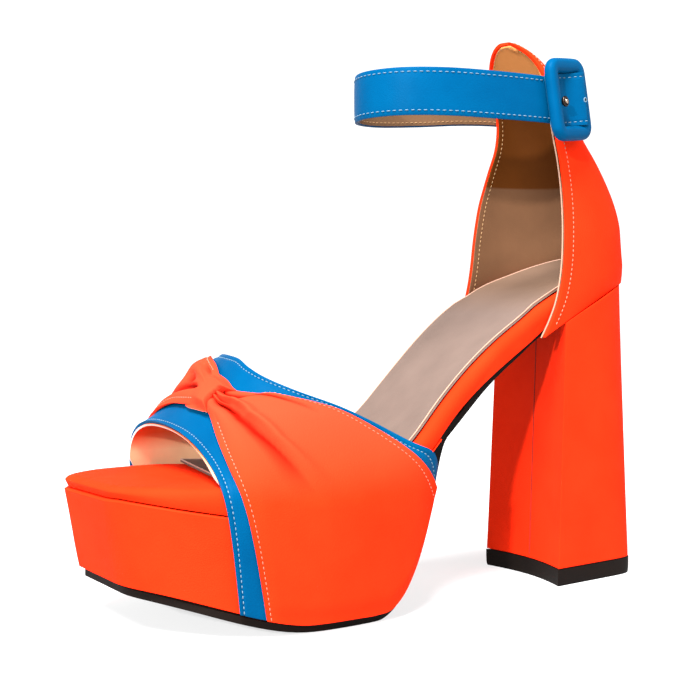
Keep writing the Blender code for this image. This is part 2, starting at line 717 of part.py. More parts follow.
OverlayRow = namedtuple("OverlayRow", "front_row front_x back_row back_x")
OVERLAY_EDGES = (          # the gathered overlay, from its lateral foot to its medial foot
    OverlayRow(0.0, -158.6, 0.0, -89.0),
    OverlayRow(2.0, -163.0, 1.5, -90.6),
    OverlayRow(4.0, -167.4, 3.3, -95.4),
    OverlayRow(6.0, -169.4, 5.6, -100.8),
    OverlayRow(7.5, -168.4, 7.3, -109.0),
    OverlayRow(8.8, -167.0, 8.6, -123.0),
    OverlayRow(9.8, -165.6, 9.5, -139.0),
    OverlayRow(10.4, -164.6, 10.4, -152.2),
    OverlayRow(10.8, -164.4, 11.3, -156.0),
    OverlayRow(11.2, -164.6, 12.6, -156.0),
    OverlayRow(11.9, -165.2, 13.8, -154.4),
    OverlayRow(13.6, -167.4, 15.6, -150.6),
    OverlayRow(15.8, -170.4, 17.6, -143.0),
    OverlayRow(18.0, -172.6, 19.4, -130.0),
    OverlayRow(20.4, -172.6, 21.2, -112.0),
    OverlayRow(23.4, -168.8, 23.8, -97.0),
    OverlayRow(26.0, -163.2, 26.2, -90.6),
    OverlayRow(28.0, -158.8, 28.0, -89.0),
)
KNOT_POSITION = 8.8        # the loop's place along OVERLAY_EDGES


def band_grid(sections, across=13):
    """Inside surface of the band: rows follow the sections, columns run to the back."""
    grid = np.zeros((SECTION_POINTS, across, 3))
    for row in range(SECTION_POINTS):
        front = table(BAND_EDGES, "row", "front_x", row)
        back = table(BAND_EDGES, "row", "back_x", row)
        for column, part in enumerate(np.linspace(0, 1, across)):
            grid[row, column] = vamp_point(sections, front + (back - front) * part, row)
    return grid


def overlay_spot(sections, at, part):
    """Point of the vamp's inside at a position along OVERLAY_EDGES, from front to back."""
    rows = range(len(OVERLAY_EDGES))
    front_row, front_x, back_row, back_x = [
        float(smooth(rows, [getattr(edge, field) for edge in OVERLAY_EDGES], at))
        for field in OverlayRow._fields
    ]
    x = front_x * (1 - part) + back_x * part
    row = front_row * (1 - part) + back_row * part
    return vamp_point(sections, x, row)


def overlay_grid(sections, along=33, across=11):
    """The vamp's inside, traced under the overlay from lateral to medial foot."""
    at = np.linspace(0, len(OVERLAY_EDGES) - 1, along)
    parts = np.linspace(0, 1, across)
    grid = np.array([[overlay_spot(sections, a, part) for part in parts] for a in at])
    return grid, at


def gather_height(at, part):
    """Thickness of the overlay: it stands up in a puff near the loop."""
    near = np.exp(-((at - KNOT_POSITION) / GATHER_SPREAD) ** 2)
    dome = np.clip(4 * part * (1 - part), 0, 1) ** 0.7
    return OVERLAY_WALL + GATHER_RISE * near * dome


def surface_normals(sections, grid):
    """Outward normals of the vamp surface at the points of a grid on it."""
    normal = grid_normals(grid)
    centre = np.array((-135.0, 0.0, 40.0))
    flip = np.sum(normal * (grid - centre), axis=2) < 0
    normal[flip] *= -1
    return normal


def band_body(sections):
    """Blue vamp band, one hollow wall from foot to foot of the platform."""
    inner = band_grid(sections)
    outer = inner + surface_normals(sections, inner) * BAND_WALL
    return shell(outer, inner)


def overlay_body(sections):
    """Gathered overlay on the band; it is thickest under the loop."""
    base, at = overlay_grid(sections)
    normal = surface_normals(sections, base)
    inner = base + normal * (BAND_WALL + OVERLAY_CLEARANCE)
    part = np.linspace(0, 1, base.shape[1])
    outer = inner + normal * gather_height(at[:, None], part[None, :])[:, :, None]
    return shell(outer, inner)


def loop_body(sections):
    """Loop wrapped over the gather: it follows the overlay and comes down at both edges."""
    span = np.linspace(-1, 1, 7)
    parts = np.linspace(-LOOP_OVERHANG, 1 + LOOP_OVERHANG, 19)
    reach = np.abs(parts - 0.5) / (0.5 + LOOP_OVERHANG)
    base = np.zeros((len(span), len(parts), 3))
    at = KNOT_POSITION + LOOP_HALF_SPAN * span
    for i, position in enumerate(at):
        for j, part in enumerate(parts):
            base[i, j] = overlay_spot(sections, position, part)
    normal = surface_normals(sections, base)
    inner = gather_height(at[:, None], parts[None, :]) + OVERLAY_CLEARANCE + LOOP_CLEARANCE
    inner = inner * (1 - reach**10)[None, :]
    outer = (inner + LOOP_WALL) * (1 - 0.12 * span**4)[:, None]
    foot = BAND_WALL + GAP
    spread = (parts - 0.5)[None, :, None] * (base[:, -1:] - base[:, :1]) * LOOP_FLARE
    outer_grid = base + spread + normal * (foot + outer)[:, :, None]
    inner_grid = base + normal * (foot + inner)[:, :, None]
    return shell(outer_grid, inner_grid)


# ---------------------------------------------------------------- ankle strap and buckle

StrapRow = namedtuple("StrapRow", "x y z lean")
STRAP = (                  # middle line of the ankle strap's outer face, seen from above
    StrapRow(-1.4, -5.0, 196.6, 33.0),
    StrapRow(-5.4, -15.2, 195.6, 24.0),
    StrapRow(-15.8, -24.8, 194.8, 10.0),
    StrapRow(-32.0, -31.6, 194.2, 2.0),
    StrapRow(-54.0, -31.4, 194.2, 0.0),
    StrapRow(-76.0, -26.4, 194.6, 0.0),
    StrapRow(-92.0, -16.4, 194.8, 0.0),
    StrapRow(-99.4, -1.6, 194.8, 0.0),
    StrapRow(-94.6, 13.6, 195.0, 0.0),
    StrapRow(-80.0, 22.8, 196.0, 0.0),
    StrapRow(-58.0, 26.6, 198.2, 0.0),
    StrapRow(-36.0, 27.4, 200.6, 2.0),
    StrapRow(-17.4, 25.0, 201.4, 8.0),
    StrapRow(-5.4, 15.6, 199.6, 24.0),
    StrapRow(-1.5, 5.4, 197.6, 33.0),
)
STRAP_STEPS = 80


def closed_curve(values, count):
    """Closed Catmull-Rom curve through the rows of values, count samples around."""
    values = np.asarray(values, float)
    wrapped = np.vstack((values[-2:], values, values[:3]))
    fine = through(wrapped, 40 * (len(wrapped) - 1) + 1)
    inner = fine[80 : 80 + 40 * len(values) + 1]
    length = np.concatenate(([0], np.cumsum(np.linalg.norm(np.diff(inner[:, :3], axis=0), axis=1))))
    wanted = np.linspace(0, length[-1], count, endpoint=False)
    return np.column_stack([np.interp(wanted, length, inner[:, c]) for c in range(inner.shape[1])])


def strap_frames(count=STRAP_STEPS):
    """Middle line of the strap with its outward and upward directions."""
    curve = closed_curve([tuple(row) for row in STRAP], count)
    line = curve[:, :3]
    tangent = np.roll(line, -1, axis=0) - np.roll(line, 1, axis=0)
    tangent /= np.linalg.norm(tangent, axis=1)[:, None]
    up = np.tile((0.0, 0.0, 1.0), (count, 1))
    outward = np.cross(tangent, up)
    outward /= np.linalg.norm(outward, axis=1)[:, None]
    centre = line.mean(axis=0)
    if np.sum(outward * (line - centre)) < 0:
        outward = -outward
    up = np.cross(outward, tangent)
    up = np.where(up[:, 2:3] < 0, -up, up)
    lean = np.radians(curve[:, 3])[:, None]
    leaning_up = up * np.cos(lean) - outward * np.sin(lean)
    leaning_out = outward * np.cos(lean) + up * np.sin(lean)
    return line, leaning_out, leaning_up


def strap_body():
    """Ankle strap, one closed loop around the back of the heel cup."""
    line, outward, up = strap_frames()
    corners = []
    for rise, depth in ((0.5, 0.0), (0.5, 1.0), (-0.5, 1.0), (-0.5, 0.0)):
        corners.append(line + up * STRAP_WIDTH * rise - outward * STRAP_WALL * depth)
    vertices = list(np.concatenate(corners))
    count = len(line)
    faces = []
    for c in range(4):
        d = (c + 1) % 4
        for i in range(count):
            j = (i + 1) % count
            faces.append((c * count + i, c * count + j, d * count + j, d * count + i))
    return vertices, faces


def on_buckle(along, rise, lift):
    """Point in the buckle's own frame, which bends around the ankle with the strap."""
    line, outward, up = strap_frames(4 * STRAP_STEPS)
    lateral = line[:, 1] < 0
    middle = int(np.argmin(np.where(lateral, np.abs(line[:, 0] - BUCKLE_X), np.inf)))
    tilt = radians(BUCKLE_TILT)
    turned_along = along * cos(tilt) - rise * sin(tilt)
    turned_rise = rise * cos(tilt) + along * sin(tilt)
    step = np.linalg.norm(line[1] - line[0])
    backward = -1 if line[middle + 1, 0] < line[middle, 0] else 1
    place = middle + backward * turned_along / step
    low = int(np.floor(place))
    part = place - low
    parts = []
    for values in (line, outward, up):
        parts.append(values[low] * (1 - part) + values[low + 1] * part)
    return parts[0] + parts[1] * lift + parts[2] * turned_rise


def rounded_rectangle(width, height, radius, per_corner):
    """Points of a rounded rectangle around the origin, with their outward directions."""
    points = []
    directions = []
    for quarter, (sx, sy) in enumerate(((1, 1), (-1, 1), (-1, -1), (1, -1))):
        for step in range(per_corner):
            turn = (quarter + step / (per_corner - 1)) * pi / 2
            centre = (sx * (width / 2 - radius), sy * (height / 2 - radius))
            points.append((centre[0] + radius * cos(turn), centre[1] + radius * sin(turn)))
            directions.append((cos(turn), sin(turn)))
    return np.array(points), np.array(directions)


def buckle_body():
    """Covered buckle frame: a fat rounded ring standing on the strap."""
    points, directions = rounded_rectangle(BUCKLE_WIDTH, BUCKLE_HEIGHT, BUCKLE_CORNER, 7)
    sections = 10
    vertices = []
    for point, direction in zip(points, directions):
        for s in range(sections):
            turn = 2 * pi * s / sections
            along, rise = point + direction * BUCKLE_BAR / 2 * cos(turn)
            lift = BUCKLE_LIFT + BUCKLE_DEPTH / 2 * (1 + sin(turn))
            vertices.append(on_buckle(along, rise, lift))
    faces = []
    for i in range(len(points)):
        j = (i + 1) % len(points)
        for s in range(sections):
            t = (s + 1) % sections
            faces.append((i * sections + s, i * sections + t, j * sections + t, j * sections + s))
    return vertices, faces


def strap_end_body():
    """End of the strap that shows inside the buckle frame."""
    half_width = BUCKLE_WIDTH / 2 - BUCKLE_BAR / 2 - GAP
    half_height = STRAP_WIDTH / 2 + 0.4
    columns = np.linspace(-1, 1, 9)
    rows = np.linspace(-1, 1, 5)
    grids = []
    for wall, crown in ((STRAP_END_WALL, STRAP_END_CROWN), (0.0, 0.0)):
        grid = np.zeros((len(columns), len(rows), 3))
        for i, u in enumerate(columns):
            for j, v in enumerate(rows):
                lift = STRAP_END_LIFT + wall + crown * (1 - u * u)
                grid[i, j] = on_buckle(half_width * u, half_height * v, lift)
        grids.append(grid)
    return shell(*grids)


def prong_body():
    """Tip of the metal prong, coming up through the first hole of the strap's end."""
    foot = STRAP_END_LIFT + STRAP_END_WALL + STRAP_END_CROWN
    vertices = []
    levels = ((0.1, 1.0), (1.3, 1.0), (2.0, 0.6))
    around = 12
    for height, size in levels:
        for s in range(around):
            turn = 2 * pi * s / around
            along = PRONG_ALONG + PRONG_RADIUS * size * cos(turn)
            vertices.append(on_buckle(along, PRONG_RADIUS * size * sin(turn), foot + height))
    faces = [tuple(range(around))[::-1]]
    for level in range(len(levels) - 1):
        for s in range(around):
            t = (s + 1) % around
            lower = level * around
            upper = lower + around
            faces.append((lower + s, lower + t, upper + t, upper + s))
    faces.append(tuple((len(levels) - 1) * around + s for s in range(around)))
    return vertices, faces


# ---------------------------------------------------------------- the sandal

def main():
    """Build every piece of the sandal."""
    for item in list(bpy.data.objects):
        bpy.data.objects.remove(item, do_unlink=True)
    orange = principled("orange_leather", (0.95, 0.09, 0.012), 0.45)
    blue = principled("blue_leather", (0.0, 0.16, 0.55), 0.4)
    sock = principled("beige_sock", (0.58, 0.40, 0.31), 0.6)
    rubber = principled("black_rubber", (0.02, 0.012, 0.008), 0.6)
    bronze = principled("bronze", (0.35, 0.22, 0.12), 0.35, 1.0)
    sections = vamp_sections()
    make_object("outsole", *outsole_body(), rubber)
    make_object("platform", *platform_body(), orange)
    make_object("insole_board", *board_body(), orange)
    make_object("insole_sock", *sock_body(), sock)
    make_object("heel", *heel_body(), orange)
    make_object("top_lift", *top_lift_body(), rubber)
    make_object("heel_counter", *cup_body(), orange)
    make_object("vamp_band", *band_body(sections), blue)
    make_object("gathered_overlay", *overlay_body(sections), orange)
    make_object("gather_loop", *loop_body(sections), orange)
    make_object("ankle_strap", *strap_body(), blue)
    make_object("buckle_frame", *buckle_body(), blue)
    make_object("strap_end", *strap_end_body(), blue)
    make_object("buckle_prong", *prong_body(), bronze)


main()
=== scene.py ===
"""Looks of a left platform sandal: leather, lining, stitches and studio light on a fixed frame.

Sizes in the classes are in millimetres, and meshes are in metres. The toe points to -X, the
outer (lateral) side of the foot is -Y, the inner (medial) side is +Y and up is +Z.
"""

import json
import logging
import math
from collections.abc import Callable, Iterator, Sequence
from contextlib import contextmanager
from dataclasses import dataclass, field
from enum import Enum

import bmesh
import bpy
import numpy as np
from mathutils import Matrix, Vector

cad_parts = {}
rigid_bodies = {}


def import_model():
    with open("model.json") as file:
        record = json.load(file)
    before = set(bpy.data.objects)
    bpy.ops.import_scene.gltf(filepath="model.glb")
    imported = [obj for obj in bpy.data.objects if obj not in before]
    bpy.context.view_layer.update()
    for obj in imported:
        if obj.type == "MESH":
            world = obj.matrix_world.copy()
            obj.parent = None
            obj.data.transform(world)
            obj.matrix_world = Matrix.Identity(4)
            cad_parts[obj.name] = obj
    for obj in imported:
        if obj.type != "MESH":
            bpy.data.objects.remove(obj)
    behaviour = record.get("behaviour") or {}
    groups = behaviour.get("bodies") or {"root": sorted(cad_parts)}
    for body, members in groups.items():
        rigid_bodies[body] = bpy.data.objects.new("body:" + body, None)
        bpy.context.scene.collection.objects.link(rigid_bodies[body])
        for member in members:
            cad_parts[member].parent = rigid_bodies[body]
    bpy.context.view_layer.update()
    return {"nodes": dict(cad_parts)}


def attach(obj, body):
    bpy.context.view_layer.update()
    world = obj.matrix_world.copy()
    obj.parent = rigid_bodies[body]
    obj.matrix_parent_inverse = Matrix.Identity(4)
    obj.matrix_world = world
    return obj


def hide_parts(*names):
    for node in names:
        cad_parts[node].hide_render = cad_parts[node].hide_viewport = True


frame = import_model()

# Attribute that holds painted shade in the overlay's folds and along the loop.
FOLD_SHADE = "fold"
MM = 0.001
BODY = "root"
JOIN_WITHIN = 0.005
LOG = logging.getLogger("sandal")

Array = np.ndarray
Colour = tuple[float, float, float]
Place = tuple[float, float, float]
ORIGIN = (0.0, 0.0, 0.0)
FRONT = (0.0, -1.0, 0.0)


class Slot(Enum):
    """Material slots of the record."""

    ORANGE = "orange_leather"
    BLUE = "blue_leather"
    LINING = "beige_lining"
    RUBBER = "black_rubber"
    METAL = "bronze_metal"


# ---------------------------------------------------------------- small helpers


def smoothstep(low: float, high: float, value: Array) -> Array:
    """Soft step from 0 at low to 1 at high."""
    t = np.clip((np.asarray(value, float) - low) / (high - low), 0.0, 1.0)
    return t * t * (3.0 - 2.0 * t)


def bump_at(value: Array, centre: Array | float, width: Array | float) -> Array:
    """Bell of height 1 at the centre, with the given half width."""
    return np.exp(-(((value - centre) / width) ** 2))


def unit(vectors: Array) -> Array:
    """Vectors scaled to length 1."""
    return vectors / np.maximum(np.linalg.norm(vectors, axis=-1, keepdims=True), 1e-12)


def spline_weights(t: Array) -> Array:
    """Catmull-Rom weights of the four knots around a place, for its fraction t."""
    return 0.5 * np.stack((
        -t + 2 * t**2 - t**3,
        2 - 5 * t**2 + 3 * t**3,
        t + 4 * t**2 - 3 * t**3,
        -(t**2) + t**3,
    ))


def polyline_lengths(points: Array) -> Array:
    """Distance along a line of points at each of them."""
    return np.concatenate(([0.0], np.cumsum(np.linalg.norm(np.diff(points, axis=0), axis=1))))


def coordinates(piece: bpy.types.Object) -> Array:
    """Vertex coordinates of a mesh object as an (n, 3) array."""
    flat = np.zeros(len(piece.data.vertices) * 3, np.float32)
    piece.data.vertices.foreach_get("co", flat)
    return flat.reshape(-1, 3).astype(float)


def set_coordinates(piece: bpy.types.Object, points: Array) -> None:
    """Puts the vertices of a mesh object at the given points."""
    piece.data.vertices.foreach_set("co", points.astype(np.float32).ravel())
    piece.data.update()


def closer_at_ends(share: Array, bend: float) -> Array:
    """Shares from 0 to 1 that lie closer together at both ends; bend is below 1."""
    return 0.5 + 0.5 * np.sin((share - 0.5) * np.pi * bend) / np.sin(np.pi * bend / 2)


def deselect_all() -> None:
    """Deselects every object."""
    for item in bpy.context.view_layer.objects:
        item.select_set(False)


def make_active(piece: bpy.types.Object) -> None:
    """Selects one object and makes it the active one."""
    deselect_all()
    piece.select_set(True)
    bpy.context.view_layer.objects.active = piece


@contextmanager
def editing(piece: bpy.types.Object) -> Iterator[None]:
    """Edit mode on one object, with its whole mesh selected at the start."""
    make_active(piece)
    bpy.ops.object.mode_set(mode="EDIT")
    bpy.ops.mesh.select_all(action="SELECT")
    yield
    bpy.ops.object.mode_set(mode="OBJECT")


def select_where(piece: bpy.types.Object, kind: str, test: Callable[[object], bool]) -> None:
    """Selects the edges or faces of a mesh in edit mode.

    Args:
        piece: The mesh object, in edit mode.
        kind: EDGE or FACE.
        test: Tells whether an edge or face is selected.
    """
    bpy.ops.mesh.select_mode(type=kind)
    bpy.ops.mesh.select_all(action="DESELECT")
    mesh = bmesh.from_edit_mesh(piece.data)
    for item in mesh.edges if kind == "EDGE" else mesh.faces:
        item.select_set(test(item))
    bmesh.update_edit_mesh(piece.data)


def apply_modifiers(piece: bpy.types.Object) -> None:
    """Applies every modifier of a piece in order."""
    make_active(piece)
    for modifier in list(piece.modifiers):
        bpy.ops.object.modifier_apply(modifier=modifier.name)


def add_bevel(
    piece: bpy.types.Object, width: float, segments: int = 2, angle: float = 35.0
) -> None:
    """Rounds the edges of a piece that are sharper than an angle.

    Args:
        piece: The mesh object.
        width: Width of the rounding in millimetres.
        segments: Number of faces across the rounding.
        angle: Smallest angle in degrees that is rounded.
    """
    bevel = piece.modifiers.new("rounding", "BEVEL")
    bevel.width = width * MM
    bevel.segments = segments
    bevel.limit_method = "ANGLE"
    bevel.angle_limit = math.radians(angle)


def add_subdivision(piece: bpy.types.Object, levels: int) -> None:
    """Adds a subdivision surface with equal viewport and render levels."""
    smoothing = piece.modifiers.new("smoothing", "SUBSURF")
    smoothing.levels = levels
    smoothing.render_levels = levels


def add_wall(piece: bpy.types.Object, thickness: float, rim_slot: int, back_slot: int) -> None:
    """Gives a sheet its thickness under its outer face.

    Args:
        piece: The sheet.
        thickness: Thickness in millimetres.
        rim_slot: Material index of the cut edge.
        back_slot: Material index of the back.
    """
    wall = piece.modifiers.new("wall", "SOLIDIFY")
    wall.thickness = thickness * MM
    wall.offset = -1.0
    wall.material_offset_rim = rim_slot
    wall.material_offset = back_slot


def shade(piece: bpy.types.Object, angle: float = 40.0) -> None:
    """Shades a piece smooth, apart from edges that are sharper than an angle."""
    make_active(piece)
    bpy.ops.object.shade_smooth_by_angle(angle=math.radians(angle))


def dress(piece: bpy.types.Object, *materials: bpy.types.Material) -> None:
    """Gives a piece its materials, in the order of their slots."""
    piece.data.materials.clear()
    for material in materials:
        piece.data.materials.append(material)


def register(piece: bpy.types.Object, slot: Slot, *nodes: str) -> None:
    """Fixes a finished piece to the body and hides the CAD nodes it stands for.

    Args:
        piece: The finished piece, with its place in its mesh.
        slot: The record's material slot; not used.
        *nodes: CAD nodes that the piece replaces.
    """
    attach(piece, BODY)
    if nodes:
        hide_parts(*nodes)
    LOG.info("%s: %d faces", piece.name, len(piece.data.polygons))


def hand_in(
    piece: bpy.types.Object, slot: Slot, material: bpy.types.Material, *nodes: str
) -> None:
    """Gives a finished piece its one material and registers it."""
    dress(piece, material)
    register(piece, slot, *nodes)


def finish_sheet(
    piece: bpy.types.Object, slot: Slot, materials: Sequence[bpy.types.Material], *nodes: str,
    angle: float = 40.0,
) -> None:
    """Makes a finished piece of a sheet with modifiers, and registers it.

    Args:
        piece: The sheet.
        slot: The record's material slot.
        materials: Materials of its face and of its cut edge.
        *nodes: CAD nodes that the piece replaces.
        angle: Angle in degrees over which an edge stays sharp.
    """
    dress(piece, *materials)
    apply_modifiers(piece)
    shade(piece, angle)
    register(piece, slot, *nodes)


def primitive(name: str, add: Callable[..., object], **settings: object) -> bpy.types.Object:
    """Adds one of Blender's primitives under a name.

    Args:
        name: Name of the piece.
        add: The operator that adds it.
        **settings: The operator's settings, in metres and radians.

    Returns:
        The new piece, which is the active object.
    """
    deselect_all()
    add(**settings)
    piece = bpy.context.object
    piece.name = name
    return piece


def laid_grid(
    name: str, columns: int, rows: int, place: Callable[[Array, Array], Array]
) -> bpy.types.Object:
    """Lays a flat grid over a form.

    Args:
        name: Name of the piece.
        columns: Number of faces along u.
        rows: Number of faces along v.
        place: Gives the points in millimetres for arrays of u and v from 0 to 1.

    Returns:
        The new sheet, with its flat shape kept as its UV map.
    """
    grid = bpy.ops.mesh.primitive_grid_add
    piece = primitive(name, grid, x_subdivisions=columns, y_subdivisions=rows, size=1)
    piece.data.name = name
    flat = coordinates(piece) + 0.5
    set_coordinates(piece, place(flat[:, 0], flat[:, 1]) * MM)
    return piece


def away_from(centre: Place | Array) -> Callable[[Array], Array]:
    """Directions away from a centre, at given points."""
    return lambda points: points - np.array(centre)


def into(centre: Place | Array) -> Callable[[Array], Array]:
    """Directions to a centre, at given points."""
    return lambda points: np.array(centre) - points


def face_outward(piece: bpy.types.Object, outward: Callable[[Array], Array]) -> None:
    """Turns a sheet over if most of its faces look against the outward directions.

    Args:
        piece: The sheet.
        outward: Gives the outward directions at points in millimetres.
    """
    piece.data.update()
    normals = np.array([face.normal for face in piece.data.polygons])
    centres = np.array([face.center for face in piece.data.polygons])
    if np.sum(normals * outward(centres / MM)) < 0:
        with editing(piece):
            bpy.ops.mesh.flip_normals()


# ---------------------------------------------------------------- reading the frame


def merged_copy(node: str, name: str) -> bpy.types.Object:
    """A copy of a CAD node, with corners joined that lie within JOIN_WITHIN millimetres."""
    mesh = frame["nodes"][node].data.copy()
    mesh.name = name
    piece = bpy.data.objects.new(name, mesh)
    bpy.context.scene.collection.objects.link(piece)
    make_active(piece)
    bpy.ops.mesh.customdata_custom_splitnormals_clear()
    with editing(piece):
        bpy.ops.mesh.remove_doubles(threshold=JOIN_WITHIN * MM)
    return piece


@dataclass
class Sheet:
    """A smooth surface through a grid of points (rows, columns, 3), in millimetres."""

    grid: Array
    side: float = 1.0
    index: list[list[int]] = field(default_factory=list)
    with_faces: bool = True

    def __post_init__(self) -> None:
        """Keeps a copy of the grid with two straight rings added around it."""
        padded = self.grid
        for _ in range(2):
            above, below = 2 * padded[:1] - padded[1:2], 2 * padded[-1:] - padded[-2:-1]
            padded = np.concatenate((above, padded, below))
            left = 2 * padded[:, :1] - padded[:, 1:2]
            right = 2 * padded[:, -1:] - padded[:, -2:-1]
            padded = np.concatenate((left, padded, right), axis=1)
        self.padded = padded

    def point(self, row: Array, column: Array) -> Array:
        """Points at fractional rows and columns."""
        row, column = np.broadcast_arrays(np.asarray(row, float) + 2, np.asarray(column, float) + 2)
        rows, columns = self.padded.shape[:2]
        r = np.clip(np.floor(row).astype(int), 1, rows - 3)
        c = np.clip(np.floor(column).astype(int), 1, columns - 3)
        across = spline_weights(row - r)
        along = spline_weights(column - c)
        total = np.zeros((*r.shape, 3))
        for i in range(4):
            for j in range(4):
                weight = (across[i] * along[j])[..., None]
                total += weight * self.padded[r + i - 1, c + j - 1]
        return total

    def normal(self, row: Array, column: Array) -> Array:
        """Outward unit normals at fractional rows and columns."""
        step = 0.05
        by_row = self.point(row + step, column) - self.point(row - step, column)
        by_column = self.point(row, column + step) - self.point(row, column - step)
        return self.side * unit(np.cross(by_row, by_column))

    def lifted(self, row: Array, column: Array, lift: Array | float) -> Array:
        """Points at a height over the surface, in millimetres."""
        return self.point(row, column) + self.normal(row, column) * np.asarray(lift)[..., None]


class CadForm:
    """A CAD node read as numbers: its corners, triangles and the smooth regions between edges."""

    def __init__(self, node: str, limit: float = 50.0) -> None:
        """Reads the node.

        Args:
            node: Name of the CAD node.
            limit: Angle in degrees over which an edge parts two regions.
        """
        piece = merged_copy(node, node + "_form")
        self.points = coordinates(piece) / MM
        self.triangles = [tuple(face.vertices) for face in piece.data.polygons]
        self.third: dict[tuple[int, int], int] = {}
        owner: dict[tuple[int, int], int] = {}
        for index, (a, b, c) in enumerate(self.triangles):
            for start, end, far in ((a, b, c), (b, c, a), (c, a, b)):
                self.third[start, end] = far
                owner[start, end] = index
        corners = self.points[np.array(self.triangles)]
        crossed = np.cross(corners[:, 1] - corners[:, 0], corners[:, 2] - corners[:, 0])
        self.areas = np.linalg.norm(crossed, axis=1) / 2
        self.normals = unit(crossed)
        self.owner = owner
        self.regions = self._grow(math.cos(math.radians(limit)))
        bpy.data.objects.remove(piece)

    def _grow(self, least: float) -> list[list[int]]:
        """Regions of triangles joined over edges that are not sharp, the largest first."""
        waiting = set(range(len(self.triangles)))
        regions = []
        while waiting:
            queue = [waiting.pop()]
            region = []
            while queue:
                face = queue.pop()
                region.append(face)
                a, b, c = self.triangles[face]
                for start, end in ((a, b), (b, c), (c, a)):
                    other = self.owner.get((end, start))
                    if other in waiting and self.normals[face] @ self.normals[other] > least:
                        waiting.remove(other)
                        queue.append(other)
            regions.append(region)
        return sorted(regions, key=lambda region: -self.areas[region].sum())

    def borders(self, region: int) -> list[list[int]]:
        """Closed loops of vertices around a region, in the order of its faces."""
        inside = set(self.regions[region])
        after: dict[int, list[int]] = {}
        for (start, end), face in self.owner.items():
            if face in inside and self.owner.get((end, start)) not in inside:
                after.setdefault(start, []).append(end)
        loops = []
        while after:
            loop = [next(iter(after))]
            while loop[-1] in after:
                ends = after[loop[-1]]
                following = ends.pop()
                if not ends:
                    del after[loop[-1]]
                loop.append(following)
            loops.append(loop[:-1])
        return sorted(loops, key=len, reverse=True)

    def sheet(
        self, region: int, rows: int, columns: int, corner: Sequence[float], toward: Sequence[float]
    ) -> Sheet:
        """Walks a four-sided region as a grid.

        Args:
            region: Index of the region.
            rows: Number of grid rows.
            columns: Number of grid columns.
            corner: Direction in which the first corner lies farthest.
            toward: Rough direction of the first row, from that corner.

        Returns:
            The surface through the grid's points.
        """
        loop = self.borders(region)[0]
        if len(loop) != 2 * (rows + columns - 2):
            raise ValueError(f"border of {len(loop)} vertices does not fit {rows} x {columns}")
        places = self.points[loop]
        first = int(np.argmax(places @ np.asarray(corner, float)))
        loop = loop[first:] + loop[:first]
        onward, backward = (self.points[loop[i]] - self.points[loop[0]] for i in (1, -1))
        with_faces = bool((unit(onward) - unit(backward)) @ np.asarray(toward, float) > 0)
        if not with_faces:
            loop = [loop[0]] + loop[:0:-1]
        side = [loop[0]] + loop[: len(loop) - rows : -1]
        index = self._walk(loop[:columns], side, with_faces)
        faces = np.array(self.regions[region])
        return self._surface(index, with_faces, faces)

    def other_side(self, sheet: Sheet) -> Sheet:
        """The matching sheet on the far side of a thin wall, found by walking over its rim."""
        index, with_faces = sheet.index, sheet.with_faces
        others = np.setdiff1d(np.arange(len(self.points)), np.array(index).ravel())
        gaps = np.linalg.norm(self.points[others] - self.points[index[0][0]], axis=1)
        start = int(others[np.argmin(gaps)])
        row = self._next_row(index[0], start, not with_faces)
        side = self._next_row([line[0] for line in index], start, with_faces)
        return self._surface(self._walk(row, side, not with_faces), not with_faces, None)

    def _walk(self, row: list[int], side: list[int], with_faces: bool) -> list[list[int]]:
        """Rows of vertices, from the first row and the first column."""
        index = [row]
        for start in side[1:]:
            index.append(self._next_row(index[-1], start, with_faces))
        return index

    def _next_row(self, row: list[int], start: int, with_faces: bool) -> list[int]:
        """Row of vertices beside another one, from its first vertex."""
        found = [start]
        for left, right in zip(row, row[1:]):
            vertex = self._across(left, right, with_faces)
            if vertex == found[-1]:
                vertex = self._across(found[-1], right, with_faces)
            found.append(vertex)
        return found

    def _surface(self, index: list[list[int]], with_faces: bool, faces: Array | None) -> Sheet:
        """Surface through a grid of vertices, with its outward side."""
        grid = self.points[np.array(index)]
        sheet = Sheet(grid)
        sheet.index, sheet.with_faces = index, with_faces
        rows, columns = grid.shape[:2]
        middle = sheet.normal(np.array(rows / 2), np.array(columns / 2))
        centre = sheet.point(np.array(rows / 2), np.array(columns / 2))
        if faces is None:
            known = np.isin(np.array(self.triangles), np.array(index)).all(axis=1)
            faces = np.flatnonzero(known)
        centres = self.points[np.array(self.triangles)[faces]].mean(axis=1)
        nearest = faces[np.argmin(np.linalg.norm(centres - centre, axis=1))]
        sheet.side = 1.0 if middle @ self.normals[nearest] > 0 else -1.0
        return sheet

    def _across(self, left: int, right: int, with_faces: bool) -> int:
        """Third corner of the triangle on the far side of an edge."""
        return self.third[(left, right) if with_faces else (right, left)]


# ---------------------------------------------------------------- finishes


